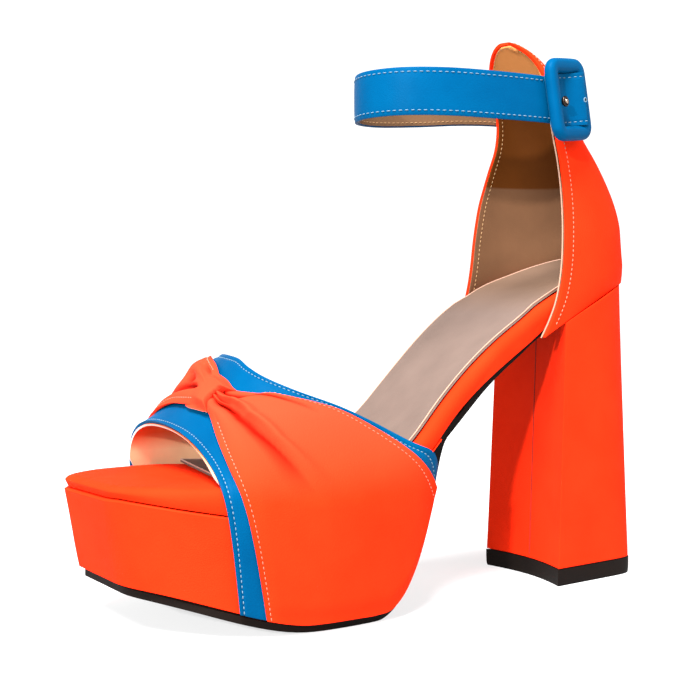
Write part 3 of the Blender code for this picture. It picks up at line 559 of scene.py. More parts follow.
class Nodes:
    """Short way to build the node tree of one material around its Principled shader."""

    def __init__(self, name: str) -> None:
        """Makes the material."""
        self.material = bpy.data.materials.new(name)
        self.material.use_nodes = True
        self.tree = self.material.node_tree
        self.surface = self.tree.nodes["Principled BSDF"]

    def add(self, kind: str, settings: dict | None = None, **inputs: object) -> bpy.types.Node:
        """Adds a node.

        Args:
            kind: Blender's type name without its ShaderNode prefix.
            settings: Attributes of the node.
            **inputs: Values or sockets for its inputs, with _ for a space in their names.

        Returns:
            The node.
        """
        node = self.tree.nodes.new("ShaderNode" + kind)
        for name, value in (settings or {}).items():
            setattr(node, name, value)
        for name, value in inputs.items():
            self.feed(node, name.replace("_", " "), value)
        return node

    def feed(self, node: bpy.types.Node, name: str, value: object) -> None:
        """Sets an input of a node, or links a socket to it."""
        found = [socket for socket in node.inputs if socket.name == name and socket.enabled]
        if isinstance(value, bpy.types.NodeSocket):
            self.tree.links.new(value, found[0])
        else:
            found[0].default_value = value

    def nap(self, roughness: float) -> dict[str, bpy.types.NodeSocket]:
        """Roughness and bump of a short nap, as inputs of the shader."""
        fibres = self.noise(0.35, 3.0)
        return {
            "Roughness": self.span(fibres, roughness - 0.05, roughness + 0.1),
            "Normal": self.bump(fibres, 0.05),
        }

    def finish(self, **inputs: object) -> None:
        """Sets or links inputs of the shader."""
        for name, value in inputs.items():
            self.feed(self.surface, name.replace("_", " "), value)

    def place(self) -> bpy.types.NodeSocket:
        """Place on the object."""
        return self.add("TexCoord").outputs["Object"]

    def above(self, low: float, high: float) -> bpy.types.NodeSocket:
        """Step from 0 to 1 between two heights in millimetres."""
        height = self.add("SeparateXYZ", Vector=self.place()).outputs["Z"]
        step = self.add("MapRange", Value=height, From_Min=low * MM, From_Max=high * MM)
        return step.outputs["Result"]

    def noise(
        self, size: float, detail: float = 2.0, stretch: Place = (1.0, 1.0, 1.0)
    ) -> bpy.types.NodeSocket:
        """Noise of a feature size in millimetres, drawn out along the axes."""
        mapping = self.add("Mapping", Vector=self.place())
        mapping.inputs["Scale"].default_value = stretch
        texture = self.add(
            "TexNoise", Vector=mapping.outputs["Vector"], Scale=1.0 / (size * MM), Detail=detail
        )
        return texture.outputs["Fac"]

    def between(
        self, factor: bpy.types.NodeSocket, low: Colour, high: Colour
    ) -> bpy.types.NodeSocket:
        """Colour between two, by a factor."""
        ramp = self.add("ValToRGB", Fac=factor)
        ramp.color_ramp.elements[0].position = 0.3
        ramp.color_ramp.elements[1].position = 0.7
        ramp.color_ramp.elements[0].color = (*low, 1.0)
        ramp.color_ramp.elements[1].color = (*high, 1.0)
        return ramp.outputs["Color"]

    def blend(
        self, factor: object, first: object, second: object, kind: str = "MIX"
    ) -> bpy.types.NodeSocket:
        """Blend of two colours or colour sockets."""
        settings = {"data_type": "RGBA", "blend_type": kind}
        mix = self.add("Mix", settings, Factor=factor, A=first, B=second)
        return next(socket for socket in mix.outputs if socket.enabled)

    def span(self, factor: bpy.types.NodeSocket, low: float, high: float) -> bpy.types.NodeSocket:
        """Number between two, by a factor."""
        ranged = self.add("MapRange", Value=factor, To_Min=low, To_Max=high)
        return ranged.outputs["Result"]

    def bump(
        self, height: bpy.types.NodeSocket, depth: float, under: bpy.types.NodeSocket | None = None
    ) -> bpy.types.NodeSocket:
        """Bump of a depth in millimetres, over another one if it is given."""
        node = self.add("Bump", Height=height, Distance=depth * MM)
        if under is not None:
            self.feed(node, "Normal", under)
        return node.outputs["Normal"]


@dataclass(frozen=True)
class Leather:
    """Smooth leather in its dye colour, fine grain, and optional painted highlight and shade."""

    name: str
    colour: Colour
    shade: Colour
    roughness: float = 0.42
    grain: float = 0.55
    grain_depth: float = 0.05
    gloss: float = 0.02
    tint: Colour = (1.0, 1.0, 1.0)
    # Painted highlight: a paler colour blended in between two heights, where the top light falls.
    painted_highlight: Colour | None = None
    highlight_from: float = 46.0
    highlight_to: float = 76.0
    # Painted shade: colour multiplied into the folds by the fold attribute.
    crease_shade: Colour = (0.3, 0.1, 0.08)

    def dye_and_painted_light(self, nodes: Nodes, cloudy: bpy.types.NodeSocket) -> bpy.types.NodeSocket:
        """Colour of the leather: a painted highlight paler high up, painted shade in its folds."""
        colour = nodes.between(cloudy, self.shade, self.colour)
        if self.painted_highlight is None:
            return colour
        # Painted highlight: paler towards the top, where the light falls.
        paler = nodes.above(self.highlight_from, self.highlight_to)
        colour = nodes.blend(paler, colour, (*self.painted_highlight, 1.0))
        # Painted shade: darker where the fold attribute is high.
        fold = nodes.add("Attribute", {"attribute_name": FOLD_SHADE})
        shade = nodes.blend(fold.outputs["Fac"], (1.0, 1.0, 1.0, 1.0), (*self.crease_shade, 1.0))
        return nodes.blend(1.0, colour, shade, "MULTIPLY")

    def material(self) -> bpy.types.Material:
        """Builds the material."""
        nodes = Nodes(self.name)
        cloudy = nodes.noise(22.0, 3.0)
        cells = nodes.add(
            "TexVoronoi", {"feature": "F1"}, Vector=nodes.place(), Scale=1.0 / (self.grain * MM)
        )
        creases = nodes.noise(6.0, 4.0)
        grain = nodes.bump(cells.outputs["Distance"], self.grain_depth)
        nodes.finish(
            Base_Color=self.dye_and_painted_light(nodes, cloudy),
            Roughness=nodes.span(creases, self.roughness - 0.06, self.roughness + 0.08),
            Normal=nodes.bump(creases, self.grain_depth, grain),
            Specular_IOR_Level=self.gloss,
            Specular_Tint=(*self.tint, 1.0),
        )
        return nodes.material


@dataclass(frozen=True)
class Lining:
    """Matte lining leather with a short nap."""

    name: str
    colour: Colour
    shade: Colour
    roughness: float = 0.68

    def material(self) -> bpy.types.Material:
        """Builds the material."""
        nodes = Nodes(self.name)
        colour = nodes.between(nodes.noise(14.0, 4.0), self.shade, self.colour)
        nodes.finish(Base_Color=colour, Specular_IOR_Level=0.3, **nodes.nap(self.roughness))
        return nodes.material


@dataclass(frozen=True)
class LiningWithPaintedLight:
    """Matte lining with light and shade painted into its tone by height: heel cup, sock and vamp.
    """

    name: str
    zones: tuple[tuple[float, Colour], ...]
    roughness: float = 0.68
    blur: float = 0.5

    def material(self) -> bpy.types.Material:
        """Builds the material; each zone is given with its lowest height in millimetres."""
        nodes = Nodes(self.name)
        tone = nodes.add("RGB").outputs["Color"]
        tone.default_value = (*self.zones[0][1], 1.0)
        for low, colour in self.zones[1:]:
            step = nodes.above(low - self.blur, low + self.blur)
            tone = nodes.blend(step, tone, (*colour, 1.0))
        cloudy = nodes.between(nodes.noise(14.0, 4.0), (0.86, 0.86, 0.86), (1.0, 1.0, 1.0))
        colour = nodes.blend(1.0, tone, cloudy, "MULTIPLY")
        nodes.finish(Base_Color=colour, Specular_IOR_Level=0.05, **nodes.nap(self.roughness))
        return nodes.material


@dataclass(frozen=True)
class Thread:
    """Twisted sewing thread, also used for raw cut edges."""

    name: str
    colour: Colour
    shade: Colour
    twist: float = 0.3

    def material(self) -> bpy.types.Material:
        """Builds the material."""
        nodes = Nodes(self.name)
        fibres = nodes.noise(self.twist, 2.0)
        nodes.finish(
            Base_Color=nodes.between(fibres, self.shade, self.colour),
            Roughness=0.6,
            Normal=nodes.bump(fibres, 0.04),
            Sheen_Weight=0.2,
        )
        return nodes.material


@dataclass(frozen=True)
class Rubber:
    """Matte moulded rubber with a fine stipple."""

    name: str
    colour: Colour
    shade: Colour

    def material(self) -> bpy.types.Material:
        """Builds the material."""
        nodes = Nodes(self.name)
        stipple = nodes.noise(0.5, 3.0)
        scuffs = nodes.noise(9.0, 5.0, (0.35, 1.0, 1.0))
        nodes.finish(
            Base_Color=nodes.between(scuffs, self.shade, self.colour),
            Roughness=nodes.span(scuffs, 0.5, 0.72),
            Normal=nodes.bump(stipple, 0.06),
            Specular_IOR_Level=0.05,
        )
        return nodes.material


@dataclass(frozen=True)
class Metal:
    """Satin plated metal with fine scratches."""

    name: str
    colour: Colour
    shade: Colour

    def material(self) -> bpy.types.Material:
        """Builds the material."""
        nodes = Nodes(self.name)
        scratches = nodes.noise(0.4, 3.0, (1.0, 6.0, 1.0))
        nodes.finish(
            Base_Color=nodes.between(scratches, self.shade, self.colour),
            Metallic=1.0,
            Roughness=nodes.span(scratches, 0.2, 0.38),
            Normal=nodes.bump(scratches, 0.01),
        )
        return nodes.material


class Palette:
    """Every material of the sandal."""

    dyed_orange: dict[str, object] = {
        "colour": (0.72, 0.022, 0.004), "shade": (0.69, 0.018, 0.003),
        "roughness": 0.72, "tint": (1.0, 0.72, 0.45),
    }

    def __init__(self) -> None:
        """Builds the materials once."""
        self.orange = Leather("orange_leather_look", **self.dyed_orange).material()
        # The gathered overlay carries a painted highlight high up and painted shade in its folds.
        self.gathered = Leather(
            "gathered_leather_look", **self.dyed_orange, painted_highlight=(0.72, 0.034, 0.013)
        ).material()
        self.blue = Leather(
            "blue_leather_look", (0.0, 0.051, 0.131), (0.0, 0.039, 0.107),
            roughness=0.38, tint=(0.35, 0.8, 1.0),
        ).material()
        self.blue_edge = Leather(
            "blue_cut_edge_look", (0.02, 0.11, 0.21), (0.01, 0.085, 0.18)
        ).material()
        self.edge_blue = Leather(
            "blue_edge_look", (0.0, 0.027, 0.085), (0.0, 0.02, 0.065)
        ).material()
        # Painted light and shade: peach below 60 mm, where light reaches into the toe opening,
        # orange-red painted shade with bounce above.
        self.vamp_lining = LiningWithPaintedLight(
            "vamp_lining_look", ((0.0, (0.58, 0.34, 0.19)), (60.0, (0.5, 0.1, 0.03))), blur=3.5
        ).material()
        # Painted shade: darker brown from 116 mm up, on the heel seat that the cup shades.
        self.sock = LiningWithPaintedLight(
            "sock_look", ((0.0, (0.118, 0.083, 0.069)), (116.0, (0.111, 0.0675, 0.0455))), blur=6.0
        ).material()
        # Painted shadow of the strap from 165 mm up, and painted light on the tab from 198 mm up.
        self.cup_lining = LiningWithPaintedLight("cup_lining_look", (
            (0.0, (0.112, 0.053, 0.026)),
            (165.0, (0.076, 0.021, 0.0025)),
            (198.0, (0.42, 0.17, 0.051)),
        )).material()
        self.strap_lining = Lining(
            "strap_lining_look", (0.12, 0.06, 0.026), (0.105, 0.05, 0.021)
        ).material()
        self.seam = Lining("seam_look", (0.16, 0.003, 0.0), (0.12, 0.002, 0.0)).material()
        # Painted shadow: near-black colour of the disc that stands for the inside of a hole.
        self.shadow = Lining(
            "hole_shadow_look", (0.002, 0.003, 0.008), (0.0015, 0.002, 0.005)
        ).material()
        self.pale_edge = Thread(
            "pale_edge_look", (0.5, 0.4, 0.36), (0.46, 0.36, 0.32), twist=0.8
        ).material()
        self.cream = Thread(
            "cream_edge_look", (0.32, 0.18, 0.12), (0.29, 0.155, 0.1), twist=0.8
        ).material()
        self.peach_thread = Thread(
            "peach_thread_look", (0.35, 0.12, 0.065), (0.31, 0.09, 0.045)
        ).material()
        self.sky_thread = Thread(
            "sky_thread_look", (0.1, 0.18, 0.25), (0.075, 0.15, 0.215)
        ).material()
        self.gold_thread = Thread(
            "gold_thread_look", (0.3, 0.165, 0.06), (0.24, 0.12, 0.04)
        ).material()
        self.rubber = Rubber(
            "black_rubber_look", (0.006, 0.0035, 0.0025), (0.004, 0.0022, 0.0017)
        ).material()
        self.metal = Metal("bronze_look", (0.4, 0.3, 0.23), (0.28, 0.19, 0.13)).material()
        # Painted shade: near-black bronze of the ring that stands for the dark hole around the
        # prong's tip.
        self.bronze_painted_shade = Metal(
            "bronze_painted_shade_look", (0.04, 0.03, 0.025), (0.02, 0.014, 0.012)
        ).material()


# ---------------------------------------------------------------- sewing


@dataclass(frozen=True)
class Sewing:
    """A running row of stitches: their pitch and size in millimetres."""

    pitch: float = 1.9
    length: float = 1.2
    width: float = 0.34
    height: float = 0.24
    sight: float = 0.3

    def model(self) -> bpy.types.Object:
        """One stitch along X, with its thread bulging up along Z."""
        deselect_all()
        bpy.ops.mesh.primitive_uv_sphere_add(segments=8, ring_count=5, radius=0.5)
        stitch = bpy.context.object
        size = (self.length, self.width, self.height * 2)
        with editing(stitch):
            bpy.ops.transform.rotate(value=math.pi / 2, orient_axis="Y", center_override=ORIGIN)
            bpy.ops.transform.resize(value=size, center_override=ORIGIN)
        return stitch

    def sew(
        self, name: str, points: Array, normals: Array, slot: Slot, thread: bpy.types.Material
    ) -> None:
        """Sews a row of stitches as one piece.

        Args:
            name: Name of the piece.
            points: Line of the seam in millimetres.
            normals: Outward direction at each of its points.
            slot: The record's material slot.
            thread: Material of the thread.
        """
        model = self.model()
        shape = coordinates(model)
        faces = [tuple(face.vertices) for face in model.data.polygons]
        lengths = polyline_lengths(points)
        count = max(int(lengths[-1] / self.pitch), 1)
        middle = (np.arange(count) + 0.5) * lengths[-1] / count
        vertices = []
        every_face = []
        for at in middle:
            here, ahead = (
                self._read(points, lengths, at + step) for step in (-self.sight, self.sight)
            )
            along = unit(ahead - here)
            up = unit(self._read(normals, lengths, at))
            across = unit(np.cross(up, along))
            up = np.cross(along, across)
            spot = (here + ahead) / 2
            first = len(vertices) * len(shape)
            vertices.append(spot + shape @ np.stack((along, across, up)))
            every_face += [tuple(first + i for i in face) for face in faces]
        mesh = bpy.data.meshes.new(name)
        mesh.from_pydata(np.concatenate(vertices) * MM, [], every_face)
        bpy.data.objects.remove(model)
        piece = bpy.data.objects.new(name, mesh)
        bpy.context.scene.collection.objects.link(piece)
        shade(piece, 60.0)
        hand_in(piece, slot, thread)

    @staticmethod
    def _read(values: Array, lengths: Array, at: float) -> Array:
        """Values along a line at a distance from its start."""
        return np.array([np.interp(at, lengths, values[:, axis]) for axis in range(3)])


VAMP_SEWING = Sewing(pitch=1.8, length=1.1)
STRAP_SEWING = Sewing(pitch=2.4, length=1.5)


def refined(node: str, name: str, bevel: float, sharp: float = 35.0) -> bpy.types.Object:
    """A smooth copy of a CAD node: joined, with its edges rounded and its faces subdivided.

    Args:
        node: Name of the CAD node.
        name: Name of the new piece.
        bevel: Width of the rounding of sharp edges in millimetres.
        sharp: Angle in degrees over which an edge is rounded.

    Returns:
        The new piece.
    """
    piece = merged_copy(node, name)
    with editing(piece):
        bpy.ops.mesh.tris_convert_to_quads(
            face_threshold=math.radians(25), shape_threshold=math.radians(60)
        )
    add_bevel(piece, bevel, 3, sharp)
    add_subdivision(piece, 1)
    apply_modifiers(piece)
    shade(piece, 50.0)
    return piece


# ---------------------------------------------------------------- sole and heel


@dataclass
class Sole:
    """Outsole, platform, wrapped insole board and its lining sock.

    The wrap turns in by wrap_turn over a stretch of the shank, and the rubber grows by shank_grow
    around a place. The seam under the board rises by toe_rise at toe_corner and slopes from
    there, between tip_rise up and side_drop down. It fades out over seam_below, seam_above and
    seam_rear.
    """

    palette: Palette
    wrap_turn: float = 2.0
    wrap_begins: tuple[float, float] = (-80.0, -45.0)
    wrap_ends: tuple[float, float] = (-30.0, -24.0)
    meeting_slope: float = 0.2
    shank_grow: float = 1.2
    grow_place: float = -80.0
    grow_reach: float = 16.0
    toe_rise: float = 2.4
    tip_rise: float = 3.0
    side_drop: float = 2.2
    toe_corner: tuple[float, float] = (-200.0, -25.0)
    seam_slope: tuple[float, float] = (-0.143, 0.033)
    seam_below: tuple[float, float] = (20.0, 43.5)
    seam_above: tuple[float, float] = (44.5, 51.0)
    seam_rear: tuple[float, float] = (-155.0, -135.0)
    piping_radius: float = 0.27

    def build(self) -> None:
        """Builds the pieces of the sole."""
        self.outsole()
        self.platform()
        self.board()
        self.sock()

    def outsole(self) -> None:
        """Rubber outsole with softened edges."""
        piece = refined("outsole", "sole_rubber", 0.35)
        self.lower(piece, 1.0)
        points = coordinates(piece)
        facing = np.array([vertex.normal for vertex in piece.data.vertices])
        grow = self.shank_grow * bump_at(points[:, 0] / MM, self.grow_place, self.grow_reach)
        grow = grow * (facing[:, 2] < -self.meeting_slope)
        set_coordinates(piece, points + facing * np.array((1.0, 0.0, 1.0)) * grow[:, None] * MM)
        hand_in(piece, Slot.RUBBER, self.palette.rubber, "outsole")

    def lower(self, piece: bpy.types.Object, side: float) -> None:
        """Moves the faces where rubber and board meet, so that the wrap turns in deeper.

        Args:
            piece: The outsole or the board.
            side: 1 for faces that look up, -1 for faces that look down.
        """
        points = coordinates(piece)
        facing = np.array([vertex.normal for vertex in piece.data.vertices])
        meeting = facing[:, 2] * side > self.meeting_slope
        facing[:, 1] = 0.0
        x = points[:, 0] / MM
        share = smoothstep(*self.wrap_begins, x) * (1.0 - smoothstep(*self.wrap_ends, x)) * meeting
        step = unit(facing + np.array((0.0, 0.0, 1e-6))) * (share * self.wrap_turn * MM)[:, None]
        set_coordinates(piece, points - step * side)

    def slope_seam(self, piece: bpy.types.Object) -> None:
        """Slopes the seam between platform and board: up at the toe's tip, down towards the vamp.

        Args:
            piece: The platform or the board; the same field moves both, so they stay in touch.
        """
        points = coordinates(piece)
        x, y, z = (points / MM).T
        (by_x, by_y), (corner_x, corner_y) = self.seam_slope, self.toe_corner
        rise = self.toe_rise + by_y * (y - corner_y) + by_x * (x - corner_x)
        rise = np.clip(rise, -self.side_drop, self.tip_rise)
        share = smoothstep(*self.seam_below, z) * (1.0 - smoothstep(*self.seam_above, z))
        share = share * (1.0 - smoothstep(*self.seam_rear, x))
        points[:, 2] += rise * share * MM
        set_coordinates(piece, points)

    def platform(self) -> None:
        """Leather-wrapped platform."""
        piece = refined("platform", "platform_wrap", 0.5, 20.0)
        self.slope_seam(piece)
        hand_in(piece, Slot.ORANGE, self.palette.orange, "platform")

    def board(self) -> None:
        """Padded board in its leather wrap."""
        piece = refined("insole_board", "board_wrap", 0.5, 40.0)
        self.lower(piece, -1.0)
        self.slope_seam(piece)
        hand_in(piece, Slot.ORANGE, self.palette.orange, "insole_board")

    def sock(self) -> None:
        """Lining sheet on the board, with a pale edge all around."""
        piece = refined("insole_sock", "sock_lining", 0.25, 50.0)
        hand_in(piece, Slot.LINING, self.palette.sock, "insole_sock")
        form = CadForm("insole_sock", 40.0)
        top = max(range(2), key=lambda region: form.normals[form.regions[region]][:, 2].mean())
        loop = form.points[form.borders(top)[0]]
        edging = tube("sock_edging", loop, self.piping_radius, closed=True)
        hand_in(edging, Slot.LINING, self.palette.cream)


def tube(name: str, points: Array, radius: float, closed: bool = False) -> bpy.types.Object:
    """A round cord of leather along a line.

    Args:
        name: Name of the piece.
        points: Points of the line in millimetres.
        radius: Radius in millimetres.
        closed: Whether the line is a loop.

    Returns:
        The tube as a mesh.
    """
    curve = bpy.data.curves.new(name, "CURVE")
    curve.dimensions = "3D"
    curve.bevel_depth = radius * MM
    curve.bevel_resolution = 2
    curve.use_fill_caps = True
    line = curve.splines.new("POLY")
    line.points.add(len(points) - 1)
    line.points.foreach_set("co", np.column_stack((points * MM, np.ones(len(points)))).ravel())
    line.use_cyclic_u = closed
    piece = bpy.data.objects.new(name, curve)
    bpy.context.scene.collection.objects.link(piece)
    make_active(piece)
    bpy.ops.object.convert(target="MESH")
    shade(piece, 60.0)
    return piece


@dataclass
class Heel:
    """Leather-covered block heel on its rubber tip, with the cover's seam down the breast."""

    palette: Palette
    seam_offset: float = -0.8
    seam_bottom: float = 9.0
    seam_top: float = 108.0
    seam_radius: float = 0.22
    sight_from: float = -100.0
    sight_reach: float = 120.0

    def build(self) -> None:
        """Builds the heel and its tip."""
        block = refined("heel", "heel_cover", 1.1, 40.0)
        hand_in(block, Slot.ORANGE, self.palette.orange, "heel")
        self.seam(block)
        tip = refined("top_lift", "heel_tip", 0.5, 40.0)
        hand_in(tip, Slot.RUBBER, self.palette.rubber, "top_lift")

    def seam(self, block: bpy.types.Object) -> None:
        """Seam of the cover, laid on the breast of the block."""
        points = []
        for height in np.linspace(self.seam_bottom, self.seam_top, 60):
            start = Vector((self.sight_from * MM, self.seam_offset * MM, height * MM))
            found, spot, _, _ = block.ray_cast(
                start, Vector((1.0, 0.0, 0.0)), distance=self.sight_reach * MM
            )
            if found:
                points.append(np.array(spot) / MM)
        line = tube("heel_seam", np.array(points), self.seam_radius)
        hand_in(line, Slot.ORANGE, self.palette.seam)


# ---------------------------------------------------------------- heel cup


@dataclass
class HeelCup:
    """Heel cup: orange leather outside, lining inside, turned edges and two rows of stitches."""

    palette: Palette
    leather: float = 1.3
    lining: float = 0.8
    front_reach: float = 0.35
    medial_inset: float = 0.25
    tab_inset: float = 1.3
    tab_begins: tuple[float, float] = (0.68, 0.86)
    lining_drop: float = 0.55
    cream_side: float = -5.0
    cream_top: float = 188.0
    stitch_inset: float = 2.3
    inner_stitch_inset: float = 1.7
    levels: int = 20
    around: int = 21
    centre: Place = (-8.0, 0.0, 150.0)

    def build(self) -> None:
        """Builds the cup."""
        form = CadForm("heel_counter", 50.0)
        corner, toward = (-0.3, -1.0, -1.0), (1.0, 0.0, 0.0)
        self.outer = form.sheet(0, self.levels, self.around, corner, toward)
        self.inner = form.other_side(self.outer)
        self.outside()
        self.inside()
        self.stitches()

    def outside(self) -> None:
        """Outer leather."""
        top, last = self.levels - 1, self.around - 1
        piece = laid_grid(
            "cup_leather", 110, 110, lambda u, v: self.outer.point(v * top, u * last)
        )
        face_outward(piece, away_from(self.centre))
        add_wall(piece, self.leather, 0, 0)
        add_bevel(piece, 0.4, 3, 50.0)
        finish_sheet(piece, Slot.ORANGE, (self.palette.orange,), "heel_counter")

    def inside(self) -> None:
        """Lining, with its pale cut edge set back from the leather's turned edge."""
        top, last = self.levels - 1, self.around - 1

        def place(u: Array, v: Array) -> Array:
            """Spot of the lining's inner face."""
            row = v * (top - self.lining_drop)
            width = polyline_by_row(self.inner, row)
            tab = smoothstep(*self.tab_begins, v)
            tab_inset = self.tab_inset * tab
            first = (-self.front_reach * (1.0 - tab) + tab_inset) / width * last
            final = last * (1.0 - (self.medial_inset * (1.0 - tab) + tab_inset) / width)
            return self.inner.point(row, first + (final - first) * u)

        piece = laid_grid("cup_lining", 80, 90, place)
        face_outward(piece, into(self.centre))
        add_wall(piece, self.lining, 1, 0)
        dress(piece, self.palette.cup_lining, self.palette.cream)
        apply_modifiers(piece)
        for polygon in piece.data.polygons:
            _, y, z = polygon.center
            if y >= self.cream_side * MM or z >= self.cream_top * MM:
                polygon.material_index = 0
        shade(piece)
        register(piece, Slot.LINING)

    def edge(self, inset: float) -> tuple[Array, Array]:
        """Rows and columns of a line around the cup's free edge, inset from it."""
        top, last = self.levels - 1, self.around - 1
        up = np.linspace(0.4, top - 1.6, 140)
        over = np.linspace(0.0, 1.0, 40)[1:-1]
        widths = polyline_by_row(self.outer, up)
        step = inset / widths * last
        tip_row = np.full(len(over), top - 1.0)
        rows = np.concatenate((up, tip_row, up[::-1]))
        first, final = step[-1], last - step[-1]
        columns = np.concatenate((step, first + (final - first) * over, last - step[::-1]))
        return rows, columns

    def stitches(self) -> None:
        """Row of stitches outside and inside, along the free edge."""
        rows, columns = self.edge(self.stitch_inset)
        Sewing().sew(
            "cup_stitches_outside", self.outer.lifted(rows, columns, 0.05),
            self.outer.normal(rows, columns), Slot.ORANGE, self.palette.peach_thread,
        )
        rows, columns = self.edge(self.inner_stitch_inset)
        Sewing().sew(
            "cup_stitches_inside", self.inner.point(rows, columns),
            self.inner.normal(rows, columns), Slot.LINING, self.palette.gold_thread,
        )


def eased(sheet: Sheet, low: float, high: float, passes: int) -> Sheet:
    """Sheet whose rows are evened out below a level.

    Args:
        sheet: The sheet.
        low: Height in millimetres below which rows are fully evened.
        high: Height above which they stay.
        passes: Number of times that each row is averaged with its neighbours.

    Returns:
        The evened sheet.
    """
    grid = sheet.grid.copy()
    share = 1.0 - smoothstep(low, high, grid[1:-1, :, 2:])
    for _ in range(passes):
        mean = 0.25 * grid[:-2] + 0.5 * grid[1:-1] + 0.25 * grid[2:]
        grid[1:-1] = grid[1:-1] * (1.0 - share) + mean * share
    return Sheet(grid, sheet.side)


def polyline_by_row(sheet: Sheet, rows: Array) -> Array:
    """Length of a sheet's cross line at each of the given rows."""
    lengths = np.linalg.norm(np.diff(sheet.grid, axis=1), axis=2).sum(axis=1)
    return np.interp(rows, np.arange(len(lengths)), lengths)


# ---------------------------------------------------------------- vamp


@dataclass(frozen=True)
class Fold:
    """One gather that runs out from the loop, read at distances from it.

    Distances, widths and heights are in millimetres and a negative height is a trough. Places
    run across the overlay from 0 at its front edge to 1 at its rear edge.
    """

    distances: tuple[float, ...]
    places: tuple[float, ...]
    heights: tuple[float, ...]
    widths: tuple[float, ...]
    rear_share: float = 1.0
    crisp: bool = False

    def height(self, away: Array, part: Array, width: Array) -> Array:
        """Height of the gather.

        Args:
            away: Distance from the loop's middle.
            part: Place across the overlay.
            width: Width of the overlay there.

        Returns:
            Its share of the overlay's height.
        """
        middle, high, half = (np.interp(away, self.distances, values) for values in (
            self.places, self.heights, self.widths
        ))
        beside = (part - middle) * width
        half = half * np.where(beside > 0, self.rear_share, 2.0 - self.rear_share)
        return high * (np.exp(-np.abs(beside / half)) if self.crisp else bump_at(beside, 0.0, half))


LATERAL_FOLDS = (
    Fold(
        (0, 4, 12, 25, 45, 70), (0.19, 0.17, 0.14, 0.12, 0.12, 0.14),
        (0.2, 1.1, 2.0, 1.9, 0.9, 0.0), (1.8, 1.8, 2.6, 3.8, 6.5, 9.0),
    ),
    Fold(
        (1, 4, 10, 18, 25, 36, 52, 70), (0.43, 0.42, 0.37, 0.28, 0.24, 0.245, 0.31, 0.38),
        (-0.6, -1.6, -2.8, -3.0, -3.0, -2.7, -2.0, 0.0), (0.6, 0.7, 1.0, 1.4, 1.9, 2.6, 3.8, 7.0),
        rear_share=0.6, crisp=True,
    ),
    Fold((1, 3, 8, 13), (0.50, 0.50, 0.45, 0.41), (0.2, 0.6, 0.6, 0.0), (0.5, 0.5, 0.5, 0.6)),
    Fold(
        (1, 3, 8, 16), (0.56, 0.55, 0.485, 0.38),
        (-0.6, -1.6, -1.8, 0.0), (0.5, 0.5, 0.6, 0.9), crisp=True,
    ),
    Fold(
        (1, 4, 11.5, 18, 27, 42, 56, 72), (0.64, 0.62, 0.55, 0.43, 0.33, 0.33, 0.39, 0.46),
        (0.3, 1.1, 2.3, 2.8, 2.9, 2.4, 1.4, 0.0), (0.9, 0.9, 1.2, 1.5, 1.9, 2.3, 4.0, 9.0),
    ),
    Fold(
        (1, 3, 9, 16, 24, 34), (0.73, 0.74, 0.77, 0.76, 0.77, 0.78),
        (-0.5, -1.5, -2.2, -1.9, -1.0, 0.0), (0.5, 0.6, 0.8, 1.0, 1.4, 2.0), crisp=True,
    ),
)
MEDIAL_FOLDS = (
    Fold(
        (7, 11, 16, 24, 34, 48), (0.38, 0.37, 0.34, 0.29, 0.24, 0.2),
        (0.0, -1.3, -3.3, -3.8, -2.6, 0.0), (0.8, 0.9, 1.2, 1.7, 2.4, 4.5),
    ),
    Fold(
        (4, 10, 22, 36, 50), (0.16, 0.14, 0.12, 0.10, 0.10),
        (0.3, 0.7, 0.8, 0.7, 0.0), (1.6, 2.0, 3.0, 4.0, 5.0),
    ),
    Fold(
        (13, 18, 21, 25, 31), (0.50, 0.50, 0.49, 0.49, 0.49),
        (0.0, -1.1, -2.2, -1.3, 0.0), (1.4, 1.8, 2.2, 2.4, 3.0),
    ),
    Fold(
        (3, 9, 18, 30, 48), (0.62, 0.62, 0.68, 0.66, 0.6),
        (0.4, 1.0, 1.6, 1.4, 0.0), (1.4, 1.8, 3.0, 4.5, 8.0),
    ),
    Fold((4, 8, 14, 22), (0.80, 0.80, 0.80, 0.80), (0.0, -1.0, -0.7, 0.0), (0.6, 0.7, 1.0, 1.4)),
)


